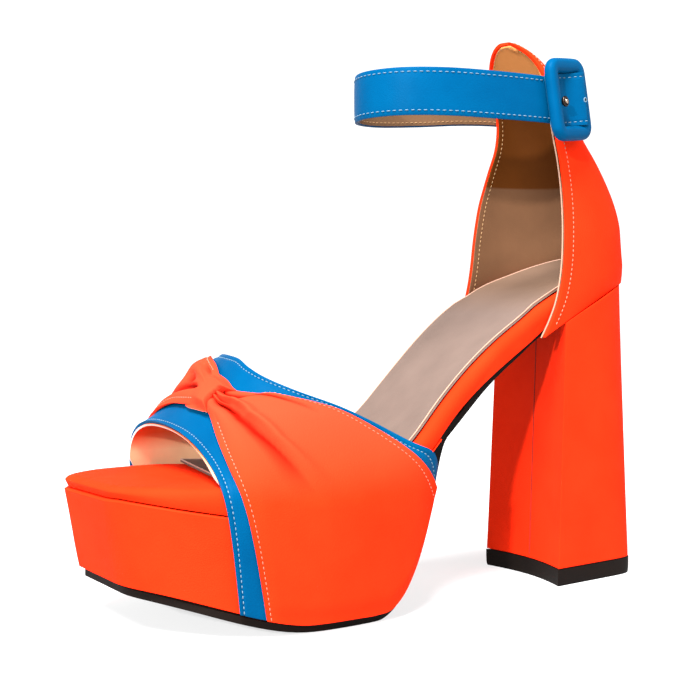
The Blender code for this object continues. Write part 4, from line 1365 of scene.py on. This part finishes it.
@dataclass
class Vamp:
    """Blue band, its lining, the gathered orange overlay and the loop that holds the gathers.

    Each of rear_reaches and front_reach gives how far the overlay reaches past its seat, as a
    share of its width, with the place along it and the half width of the bulge.
    """

    palette: Palette
    band_leather: float = 1.2
    band_lining: float = 0.75
    overlay_leather: float = 1.0
    overlay_seat: float = 0.3
    overlay_loft: float = 0.9
    lateral_swell: float = 2.0
    medial_swell: float = 2.5
    swell_at: float = 9.0
    edge_fade: float = 7.0
    hem_begins: tuple[float, float] = (12.0, 24.0)
    rear_reaches: tuple[Place, ...] = ((0.05, -22.0, 12.0), (0.12, 9.0, 8.0), (0.09, 22.0, 8.0))
    front_reach: Place = (0.04, 14.0, 9.0)
    hem: float = 2.0
    band_rows: int = 29
    band_columns: int = 13
    strip_rows: int = 33
    strip_columns: int = 11
    knot_row: float = 16.56
    cream_side: float = -8.0
    edge_low: float = 50.0
    full_shade_depth: float = 1.7
    loop_leather: float = 0.7
    loop_rise: float = 4.1
    loop_roll: float = 1.2
    loop_waist: float = 0.33
    loop_waist_reach: float = 1.3
    loop_flares: tuple[float, float] = (13.8, 30.0)
    loop_run_out: float = 15.0
    loop_taper: float = 12.5
    centre: Place = (-130.0, 0.0, 45.0)
    eased_below: float = 66.0
    kept_above: float = 80.0

    def build(self) -> None:
        """Builds the vamp."""
        form = CadForm("vamp_band", 50.0)
        corner, toward = (-1.0, -0.5, -1.0), (1.0, 0.0, 0.0)
        self.band_outer = form.sheet(0, self.band_rows, self.band_columns, corner, toward)
        self.band_inner = form.other_side(self.band_outer)
        form = CadForm("gathered_overlay", 62.0)
        self.strip = form.sheet(1, self.strip_rows, self.strip_columns, corner, toward)
        self.strip.side = -self.strip.side
        self.band_outer = eased(self.band_outer, self.eased_below, self.kept_above, 3)
        self.band_inner = eased(self.band_inner, self.eased_below, self.kept_above, 3)
        self.strip = eased(self.strip, self.eased_below, self.kept_above, 4)
        self.reach = polyline_lengths(self.strip.grid[:, self.strip_columns // 2])
        self.width = polyline_by_row(self.strip, np.arange(self.strip_rows))
        self.rows = np.arange(self.strip_rows)
        self.reach -= np.interp(self.knot_row, self.rows, self.reach)
        self.band()
        self.lining()
        self.overlay()
        self.loop()
        self.stitches()

    def band(self) -> None:
        """Blue leather of the band."""
        rows, columns = self.band_rows - 1, self.band_columns - 1

        def place(u: Array, v: Array) -> Array:
            """Spot of the leather's face, pressed in along the stitches."""
            at = closer_at_ends(u, 0.9)
            from_edge = np.minimum(at, 1.0 - at) * polyline_by_row(self.band_outer, v * rows)
            groove = -0.4 * bump_at(from_edge, self.hem, 0.55)
            return self.band_outer.lifted(v * rows, at * columns, groove)

        piece = laid_grid("band_leather", 110, 200, place)
        face_outward(piece, away_from(self.centre))
        add_wall(piece, self.band_leather, 0, 0)
        add_bevel(piece, 0.45, 3, 50.0)
        finish_sheet(piece, Slot.BLUE, (self.palette.blue,), "vamp_band")

    def lining(self) -> None:
        """Lining of the band, whose pale edge stands a little proud at the toe."""
        rows, columns = self.band_rows - 1, self.band_columns - 1

        def place(u: Array, v: Array) -> Array:
            """Spot of the inner face; its front edge hides where the band wraps the platform."""
            height = self.band_inner.point(v * rows, np.zeros_like(u))[..., 2]
            first = 0.12 - 0.25 * smoothstep(self.edge_low, self.edge_low + 5.0, height)
            return self.band_inner.point(v * rows, first + u * (columns - 0.04 - first))

        piece = laid_grid("band_lining", 60, 160, place)
        face_outward(piece, into(self.centre))
        add_wall(piece, self.band_lining, 1, 0)
        finish_sheet(piece, Slot.LINING, (self.palette.vamp_lining, self.palette.pale_edge))

    def gathers(self, away: Array, part: Array, width: Array) -> Array:
        """Height of the gathers at places of the overlay, on both sides of the loop."""
        outer = sum(fold.height(-away, part, width) for fold in LATERAL_FOLDS)
        inner = sum(fold.height(away, part, width) for fold in MEDIAL_FOLDS)
        return np.where(away < 0, outer, inner)

    def overlay_lift(self, row: Array, part: Array) -> Array:
        """Height of the overlay's face over its seat on the band."""
        width = np.interp(row, self.rows, self.width)
        away = np.interp(row, self.rows, self.reach)
        from_edge = np.clip(np.minimum(part, 1.0 - part), 0.0, 1.0) * width
        from_foot = np.minimum(away - self.reach[0], self.reach[-1] - away)
        crown, foot = (smoothstep(0.0, self.edge_fade, gap) for gap in (from_edge, from_foot))
        near = np.maximum(np.abs(away) / self.swell_at, 0.45)
        side_swell = np.where(away < 0, self.lateral_swell, self.medial_swell)
        swell = near * np.exp(1.0 - near) * side_swell
        puff = swell * (0.3 + 0.7 * np.clip(4.0 * part * (1.0 - part), 0.0, 1.0) ** 0.7)
        lift = self.overlay_seat + self.overlay_loft * crown * foot + puff
        hem = -0.2 * bump_at(from_edge, self.hem, 0.45)
        hem = hem * smoothstep(*self.hem_begins, np.abs(away))
        return np.maximum(lift + self.gathers(away, part, width) + hem, self.overlay_seat - 0.05)

    def spread(self, row: Array, part: Array) -> Array:
        """Columns of the overlay, which reaches a little past its seat beside the loop."""
        away = np.interp(row, self.rows, self.reach)
        rear, front = (
            sum(reach * bump_at(away, middle, half) for reach, middle, half in reaches)
            for reaches in (self.rear_reaches, (self.front_reach,))
        )
        spread = part + rear * smoothstep(0.6, 1.0, part) - front * smoothstep(0.4, 0.0, part)
        return spread * (self.strip_columns - 1)

    def overlay(self) -> None:
        """Orange leather of the overlay, gathered at the loop."""
        rows = self.strip_rows - 1

        def place(u: Array, v: Array) -> Array:
            """Spot of the overlay's face; rows are closer together near the loop."""
            at = v * 2.0 - 1.0
            knot = self.knot_row / rows * 2.0 - 1.0
            row = (np.where(at < 0, -1, 1) * np.abs(at) ** 1.35 + knot * (1 - np.abs(at))) + 1.0
            row = row / 2.0 * rows
            part = closer_at_ends(u, 0.82)
            away, width = (np.interp(row, self.rows, values) for values in (self.reach, self.width))
            beside = away - self.loop_edge(part)
            # Painted shade: darker along the loop's outer edge and in the troughs, kept as the fold
            # attribute.
            under = 0.9 * bump_at(beside, -0.2, 0.7) * (away < 0)
            trough = -0.1 - self.gathers(away, part, width)
            self.depth = np.clip(trough / self.full_shade_depth + under, 0.0, 1.0)
            return self.strip.lifted(row, self.spread(row, part), self.overlay_lift(row, part))

        piece = laid_grid("overlay_leather", 120, 320, place)
        face_outward(piece, away_from(self.centre))
        add_wall(piece, self.overlay_leather, 1, 0)
        dress(piece, self.palette.gathered, self.palette.cream)
        folds = piece.data.attributes.new(FOLD_SHADE, "FLOAT", "POINT")
        folds.data.foreach_set("value", self.depth.ravel())
        apply_modifiers(piece)
        for polygon in piece.data.polygons:
            if polygon.normal.x <= 0.0 or polygon.center.y >= self.cream_side * MM:
                polygon.material_index = 0
        shade(piece, 50.0)
        register(piece, Slot.ORANGE, "gathered_overlay")

    def loop_edge(self, part: Array) -> Array:
        """Distance of the loop's outer edge from its middle, which flares towards both hems."""
        flare = np.where(part > self.loop_waist, *self.loop_flares)
        return -(self.loop_waist_reach + flare * (part - self.loop_waist) ** 2)

    def loop(self) -> None:
        """Loop over the gathers: rolled edge on the outer side, running out on the inner side."""

        def place(u: Array, v: Array) -> Array:
            """Spot of the loop's face; u goes across it and v along it."""
            corner = np.abs(2.0 * u - 1.0) ** 3
            part = -0.09 + 1.15 * v + 0.07 * corner * (0.5 - v) * 2.0
            first = self.loop_edge(part)
            last = self.loop_run_out - self.loop_taper * smoothstep(0.5, 1.0, part)
            away = first + (last - first) * u
            row = np.interp(away, self.reach, self.rows)
            inside = np.clip(part, 0.0, 1.0)
            under = self.overlay_lift(row, inside)
            roll = np.clip((away - first) / self.loop_roll, 0.0, 1.0)
            roll = np.sqrt(1.0 - (1.0 - roll) ** 2)
            ends = 1.0 - 0.75 * smoothstep(0.14, -0.09, part) - 0.8 * smoothstep(0.84, 1.06, part)
            top = self.loop_rise * ends * (1.0 - 0.06 * np.cos(7.0 * part + 2.0))
            height = (under - 0.6) * (1.0 - roll) + np.maximum(top, 0.25) * roll
            merge = smoothstep(0.35, 1.0, u)
            height = height * (1.0 - merge) + (under - 0.25) * merge
            height = height * (1.0 - 0.9 * smoothstep(0.96, 1.06, part))
            return self.strip.lifted(row, self.spread(row, inside) + (part - inside) * 10.0, height)

        piece = laid_grid("gather_loop_leather", 70, 90, place)
        face_outward(piece, away_from(self.centre))
        add_wall(piece, self.loop_leather, 1, 0)
        add_bevel(piece, 0.2, 2, 50.0)
        materials = self.palette.gathered, self.palette.cream
        finish_sheet(piece, Slot.ORANGE, materials, "gather_loop", angle=60.0)

    def stitches(self) -> None:
        """Rows of stitches along the edges of the band and the overlay."""
        band = np.linspace(0.0, self.band_rows - 1, 200)
        widths = polyline_by_row(self.band_outer, band)
        columns = self.band_columns - 1
        inset = self.hem / widths * columns
        for name, column in (("front", inset), ("rear", columns - inset)):
            VAMP_SEWING.sew(
                f"band_stitches_{name}", self.band_outer.lifted(band, column, -0.3),
                self.band_outer.normal(band, column), Slot.BLUE, self.palette.sky_thread,
            )
        for name, start, end, rear in (
            ("outer_front", self.reach[0], -23.0, False),
            ("outer_rear", self.reach[0], -15.0, True),
            ("inner_front", 10.5, self.reach[-1], False),
            ("inner_rear", 5.5, self.reach[-1], True),
        ):
            away = np.linspace(start, end, 160)
            rows = np.interp(away, self.reach, self.rows)
            part = self.hem / np.interp(rows, self.rows, self.width)
            part = 1.0 - part if rear else part
            lift = self.overlay_lift(rows, part) + 0.05
            VAMP_SEWING.sew(
                f"overlay_stitches_{name}",
                self.strip.lifted(rows, self.spread(rows, part), lift),
                self.strip.normal(rows, part * (self.strip_columns - 1)),
                Slot.ORANGE, self.palette.peach_thread,
            )


# ---------------------------------------------------------------- ankle strap


@dataclass
class AnkleStrap:
    """Ankle strap with its lining, stitches and covered buckle."""

    palette: Palette
    leather: float = 1.4
    lining: float = 0.7
    hem: float = 1.9
    crown: float = 0.35
    stations: int = 80
    overlap: int = 3
    join_within: float = 0.01

    def build(self) -> None:
        """Builds the strap and its buckle."""
        form = CadForm("ankle_strap", 60.0)
        self.outer = self.ring(form, 0)
        self.inner = self.ring(form, 1)
        self.band()
        self.stitches()
        self.buckle()

    def ring(self, form: CadForm, region: int) -> Sheet:
        """Outer or inner face of the strap as a grid of two rows that runs past its start."""
        loops = [form.points[loop] for loop in form.borders(region)[:2]]
        bottom, top = sorted(loops, key=lambda points: points[:, 2].mean())
        gaps = np.linalg.norm(top[:, None] - bottom[None, :], axis=2)
        bottom = bottom[np.argmin(gaps, axis=1)]
        start = int(np.argmin(np.abs(top[:, 1]) + 1000.0 * (top[:, 0] < -40.0)))
        order = (np.arange(-self.overlap, len(top) + self.overlap + 1) + start) % len(top)
        sheet = Sheet(np.stack((bottom[order], top[order])))
        middle, columns = np.array(0.5), np.arange(4.0, 80.0, 8.0)
        outward = sheet.point(middle, columns) - top.mean(axis=0)
        facing = np.sum(sheet.normal(middle, columns) * outward)
        sheet.side = 1.0 if facing > 0 else -1.0
        return sheet

    def column(self, share: Array) -> Array:
        """Column of the ring for a share of the way around."""
        return self.overlap + np.asarray(share, float) * self.stations

    def band(self) -> None:
        """Leather and lining of the strap."""
        centre = self.outer.grid.mean(axis=(0, 1))

        def outside(u: Array, v: Array) -> Array:
            """Spot of the leather's face."""
            lift = self.crown * (1.0 - (2.0 * v - 1.0) ** 4) - self.crown
            return self.outer.lifted(v, self.column(u), lift)

        def inside(u: Array, v: Array) -> Array:
            """Spot of the lining's face."""
            return self.inner.lifted(0.03 + 0.94 * v, self.column(u), np.zeros_like(u))

        blue, beige = self.palette.blue, self.palette.strap_lining
        for name, place, outward, wall, finish, slot, nodes in (
            (
                "strap_leather", outside, away_from(centre),
                self.leather, blue, Slot.BLUE, ("ankle_strap",),
            ),
            ("strap_lining", inside, into(centre), self.lining, beige, Slot.LINING, ()),
        ):
            piece = laid_grid(name, 360, 14, place)
            with editing(piece):
                bpy.ops.mesh.remove_doubles(threshold=self.join_within * MM)
            face_outward(piece, outward)
            add_wall(piece, wall, 1, 0)
            add_bevel(piece, 0.3, 2, 50.0)
            finish_sheet(piece, slot, (finish, self.palette.edge_blue), *nodes)

    def stitches(self) -> None:
        """Two rows of stitches outside and inside."""
        share = np.linspace(0.0, 1.0, 400)
        height = np.linalg.norm(self.outer.grid[1] - self.outer.grid[0], axis=1).mean()
        low = self.hem / height
        for name, at in (("lower", low), ("upper", 1.0 - low)):
            rows = np.full(len(share), at)
            for face, sheet, thread, slot in (
                ("outside", self.outer, self.palette.sky_thread, Slot.BLUE),
                ("inside", self.inner, self.palette.gold_thread, Slot.LINING),
            ):
                STRAP_SEWING.sew(
                    f"strap_stitches_{name}_{face}", sheet.point(rows, self.column(share)),
                    sheet.normal(rows, self.column(share)), slot, thread,
                )

    def buckle(self) -> None:
        """Covered buckle with the strap's end in it."""
        Buckle(self.palette).build()


@dataclass
class Buckle:
    """Covered buckle frame, the strap's end inside it and the prong.

    Pieces are built with the frame's width along X, its height along Z and its face towards -Y,
    and are then set in place.
    """

    palette: Palette
    centre: Place = (-25.41, -32.58, 194.63)
    along: Place = (0.937, 0.326, 0.124)
    up: Place = (-0.141, 0.029, 0.99)
    width: float = 25.6
    height: float = 33.0
    depth: float = 4.8
    shift: float = 2.85
    bar: float = 5.4
    slot_share: float = 0.955
    backing_size: Place = (19.0, 0.6, 26.5)
    corner: float = 6.2
    roundness: float = 2.1
    end_low: float = -10.6
    end_high: float = 10.4
    end_from: float = -8.6
    end_to: float = 12.6
    end_slant: float = 0.09
    end_sunk: float = -1.1
    end_steps: tuple[Place, ...] = ((0.5, -9.0, -4.0), (3.6, 1.0, 11.5))
    end_leather: float = 1.3
    hem: float = 1.6
    hole_place: tuple[float, float] = (10.9, -0.6)
    grommet_radius: float = 1.45
    grommet_rise: float = 2.6
    prong_place: tuple[float, float] = (-3.7, -1.2)
    prong_radius: float = 0.95
    prong_length: float = 4.2
    prong_rise: float = 2.2
    prong_lean: float = 0.3

    def build(self) -> None:
        """Builds the buckle."""
        self.frame()
        self.backing()
        self.strap_end()
        self.prong()

    def place(self, points: Array) -> Array:
        """Moves points from the buckle's own axes to their place."""
        along = unit(np.array(self.along))
        up = unit(np.array(self.up) - along * (np.array(self.up) @ along))
        back = np.cross(up, along)
        return np.array(self.centre) + points @ np.stack((along, back, up))

    def settle(
        self, piece: bpy.types.Object, slot: Slot, *nodes: str, angle: float = 40.0
    ) -> None:
        """Sets a dressed piece in place, shades it and registers it.

        Args:
            piece: The piece, built in the buckle's own axes.
            slot: The record's material slot.
            *nodes: CAD nodes that the piece replaces.
            angle: Angle in degrees over which an edge stays sharp.
        """
        set_coordinates(piece, self.place(coordinates(piece) / MM) * MM)
        shade(piece, angle)
        register(piece, slot, *nodes)

    def frame(self) -> None:
        """Fat rounded frame."""
        piece = primitive("buckle_cover", bpy.ops.mesh.primitive_cube_add, size=1)
        size = (self.width * MM, self.depth * MM, self.height * MM)

        def is_corner(edge: bmesh.types.BMEdge) -> bool:
            """Tells whether an edge runs through the frame's depth."""
            start, end = (vertex.co for vertex in edge.verts)
            return abs(start.y - end.y) > self.depth * MM / 2

        with editing(piece):
            bpy.ops.transform.resize(value=size, center_override=ORIGIN)
            select_where(piece, "EDGE", is_corner)
            bpy.ops.mesh.bevel(offset=self.corner * MM, segments=6)
            select_where(piece, "FACE", lambda face: abs(face.normal.y) > 0.9)
            bpy.ops.mesh.inset(thickness=self.bar * MM, use_individual=True)
            bpy.ops.transform.resize(value=(1.0, 1.0, self.slot_share), center_override=ORIGIN)
            bpy.ops.mesh.bridge_edge_loops()
            bpy.ops.mesh.select_all(action="SELECT")
            bpy.ops.mesh.normals_make_consistent(inside=False)
            bpy.ops.mesh.select_mode(type="VERT")
        add_bevel(piece, self.roundness, 4, 60.0)
        add_subdivision(piece, 1)
        dress(piece, self.palette.blue)
        apply_modifiers(piece)
        set_coordinates(piece, coordinates(piece) + np.array((self.shift * MM, 0.0, 0.0)))
        self.settle(piece, Slot.BLUE, "buckle_frame", angle=60.0)

    def backing(self) -> None:
        """Thin dark sheet behind the opening, where the strap runs through; its darkness is painted
        shade.
        """
        piece = primitive("buckle_backing", bpy.ops.mesh.primitive_cube_add, size=1)
        points = coordinates(piece) * np.array(self.backing_size)
        back = self.depth / 2 - self.backing_size[1]
        set_coordinates(piece, (points + np.array((self.shift, back, 0.0))) * MM)
        add_bevel(piece, 0.15, 2, 60.0)
        # Painted shade: the dark edge colour fills the opening behind the strap's end.
        dress(piece, self.palette.edge_blue)
        apply_modifiers(piece)
        self.settle(piece, Slot.BLUE)

    def end_rise(self, x: Array) -> Array:
        """How far the strap's end stands out at a place of its length."""
        rise = self.end_sunk
        for step, low, high in self.end_steps:
            rise = rise + step * smoothstep(low, high, x)
        return rise

    def strap_end(self) -> None:
        """End of the strap: it lies in the frame and climbs over its far bar."""

        def lay(u: Array, v: Array) -> Array:
            """Spot of the leather's face."""
            x = self.end_from + (self.end_to - self.end_from) * u
            z = self.end_low + (self.end_high - self.end_low) * v
            x = x + self.end_slant * z * u
            edge = np.minimum(z - self.end_low, self.end_high - z)
            hem = -0.18 * bump_at(edge, self.hem, 0.45)
            tip = -0.9 * smoothstep(0.93, 1.0, u) ** 2
            return np.stack((x, -(self.end_rise(x) + hem + tip), z), axis=-1)

        piece = laid_grid("strap_end_leather", 60, 60, lay)
        face_outward(piece, lambda centres: np.array(FRONT))
        add_wall(piece, self.end_leather, 1, 0)
        add_bevel(piece, 0.3, 3, 50.0)
        dress(piece, self.palette.blue, self.palette.blue_edge)
        apply_modifiers(piece)
        self.settle(piece, Slot.BLUE, "strap_end")
        facing = self.place(np.array(FRONT)) - self.place(np.array(ORIGIN))
        x = np.linspace(-4.0, self.end_to - 1.2, 60)
        for name, z in (("upper", self.end_high - self.hem), ("lower", self.end_low + self.hem)):
            line = np.stack((x, -self.end_rise(x) + 0.14, np.full(len(x), z)), axis=-1)
            normals = np.tile(facing, (len(x), 1))
            STRAP_SEWING.sew(
                f"strap_end_stitches_{name}", self.place(line), normals,
                Slot.BLUE, self.palette.sky_thread,
            )

    def eyelet(self, radius: float) -> None:
        """Hole of the strap's end: a disc of painted shadow with a ring around it."""
        x, z = self.hole_place
        slope = (self.end_rise(np.array(x + 0.2)) - self.end_rise(np.array(x - 0.2))) / 0.4
        disc = primitive(
            "strap_eyelet_shadow_disc", bpy.ops.mesh.primitive_cylinder_add,
            vertices=28, radius=radius * MM, depth=0.3 * MM,
        )
        rim = primitive(
            "strap_eyelet_rim", bpy.ops.mesh.primitive_torus_add,
            major_segments=32, minor_segments=10, major_radius=radius * MM, minor_radius=0.2 * MM,
        )
        for piece, finish in ((disc, self.palette.shadow), (rim, self.palette.sky_thread)):
            flat = coordinates(piece) / MM
            out = self.end_rise(np.array(x)) + flat[:, 2] * 0.8 + flat[:, 0] * slope
            set_coordinates(piece, np.stack((x + flat[:, 0], -out, z + flat[:, 1]), axis=-1) * MM)
            dress(piece, finish)
            self.settle(piece, Slot.BLUE)

    def prong(self) -> None:
        """Second hole of the strap's end, the ring in the first, dark with painted shade, and the
        prong's tip.
        """
        self.eyelet(0.8)
        x, z = self.prong_place
        grommet = primitive(
            "prong_grommet", bpy.ops.mesh.primitive_torus_add,
            major_segments=36, minor_segments=14,
            major_radius=self.grommet_radius * MM, minor_radius=0.4 * MM,
        )
        flat = coordinates(grommet) / MM
        out = self.grommet_rise + flat[:, 2] * 1.6
        ring = np.stack((x + flat[:, 0] * 1.05, -out, z + flat[:, 1] * 1.15), axis=-1)
        set_coordinates(grommet, ring * MM)
        # The ring's near-black colour is painted shade of the hole around the prong.
        dress(grommet, self.palette.bronze_painted_shade)
        self.settle(grommet, Slot.METAL, angle=60.0)
        tip = primitive(
            "prong_tip", bpy.ops.mesh.primitive_cylinder_add,
            vertices=24, radius=self.prong_radius * MM, depth=self.prong_length * MM,
        )
        add_bevel(tip, 0.7, 5, 60.0)
        dress(tip, self.palette.metal)
        apply_modifiers(tip)
        flat = coordinates(tip) / MM
        across = x - 0.25 + flat[:, 0] - self.prong_lean * flat[:, 2]
        out = self.prong_rise + flat[:, 2]
        set_coordinates(tip, np.stack((across, -out, z - 0.1 + flat[:, 1]), axis=-1) * MM)
        self.settle(tip, Slot.METAL, "buckle_prong", angle=60.0)


# ---------------------------------------------------------------- studio


@dataclass(frozen=True)
class Lamp:
    """One soft box: place and size in metres, power in watts."""

    name: str
    place: Place
    size: float
    power: float
    colour: Colour = (1.0, 1.0, 1.0)


@dataclass
class Studio:
    """Pale floor, soft light and the camera. Its lengths are in metres."""

    eye: Place = (-0.3338, -0.4161, 0.11035)
    heading: Place = (0.4830, 0.8756, 0.0)
    target: Place = (-0.09, 0.0, 0.1)
    lens: float = 63.02
    shift: float = -0.0534
    floor_size: float = 14.0
    wall: float = 3.6
    cove: float = 3.0
    ambient: float = 0.4
    lamps: tuple[Lamp, ...] = field(default_factory=lambda: (
        Lamp("top", (-0.9, -0.7, 1.9), 0.85, 185.0),
        Lamp("key", (-2.27, -1.52, 1.01), 0.11, 100.0),
        Lamp("fill", (0.45, -1.25, 1.1), 1.0, 11.0),
    ))

    def build(self) -> None:
        """Builds the studio around the sandal."""
        scene = bpy.context.scene
        scene.view_settings.view_transform = "Standard"
        world = bpy.data.worlds.new("studio")
        scene.world = world
        world.use_nodes = True
        sky = world.node_tree.nodes["Background"]
        sky.inputs["Color"].default_value = (1.0, 1.0, 1.0, 1.0)
        sky.inputs["Strength"].default_value = self.ambient
        self.backdrop()
        for lamp in self.lamps:
            light = bpy.data.lights.new(lamp.name, "AREA")
            light.energy = lamp.power
            light.size = lamp.size
            light.color = lamp.colour
            item = bpy.data.objects.new(lamp.name, light)
            scene.collection.objects.link(item)
            item.location = lamp.place
            aim = Vector(self.target) - Vector(lamp.place)
            item.rotation_euler = aim.to_track_quat("-Z", "Y").to_euler()
        lens = bpy.data.cameras.new("studio_camera")
        lens.lens = self.lens
        lens.sensor_width = 36.0
        lens.shift_y = self.shift
        lens.clip_start = 0.01
        camera = bpy.data.objects.new("studio_camera", lens)
        scene.collection.objects.link(camera)
        camera.location = self.eye
        camera.rotation_euler = Vector(self.heading).to_track_quat("-Z", "Y").to_euler()
        scene.camera = camera

    def backdrop(self) -> None:
        """Pale floor that curves up into walls all around the sandal."""
        turn = math.atan2(self.heading[1], self.heading[0]) - math.pi / 2
        floor = primitive(
            "studio_floor", bpy.ops.mesh.primitive_plane_add,
            size=self.floor_size, rotation=(0.0, 0.0, turn),
        )
        with editing(floor):
            bpy.ops.mesh.select_mode(type="EDGE")
            bpy.ops.mesh.extrude_edges_move(TRANSFORM_OT_translate={"value": (0.0, 0.0, self.wall)})
            bpy.ops.mesh.select_mode(type="VERT")
        bpy.ops.object.transform_apply(rotation=True)
        add_bevel(floor, self.cove / MM, 24, 60.0)
        apply_modifiers(floor)
        shade(floor, 60.0)
        nodes = Nodes("floor_look")
        away = nodes.add("VectorMath", {"operation": "LENGTH"}, Vector=nodes.place())
        glow = nodes.add(
            "MapRange", Value=away.outputs["Value"],
            From_Min=0.45, From_Max=1.2, To_Min=0.7, To_Max=0.92,
        )
        nodes.finish(
            Base_Color=(0.32, 0.32, 0.32, 1.0),
            Roughness=0.9,
            Specular_IOR_Level=0.1,
            Emission_Color=(1.0, 1.0, 1.0, 1.0),
            Emission_Strength=glow.outputs["Result"],
        )
        dress(floor, nodes.material)


def main() -> None:
    """Builds the sandal's looks, sub-assembly by sub-assembly, and the studio around it."""
    logging.basicConfig(level=logging.INFO, format="%(name)s: %(message)s")
    palette = Palette()
    for part in (Sole, Heel, HeelCup, Vamp, AnkleStrap):
        part(palette).build()
    Studio().build()


if __name__ == "__main__":
    main()
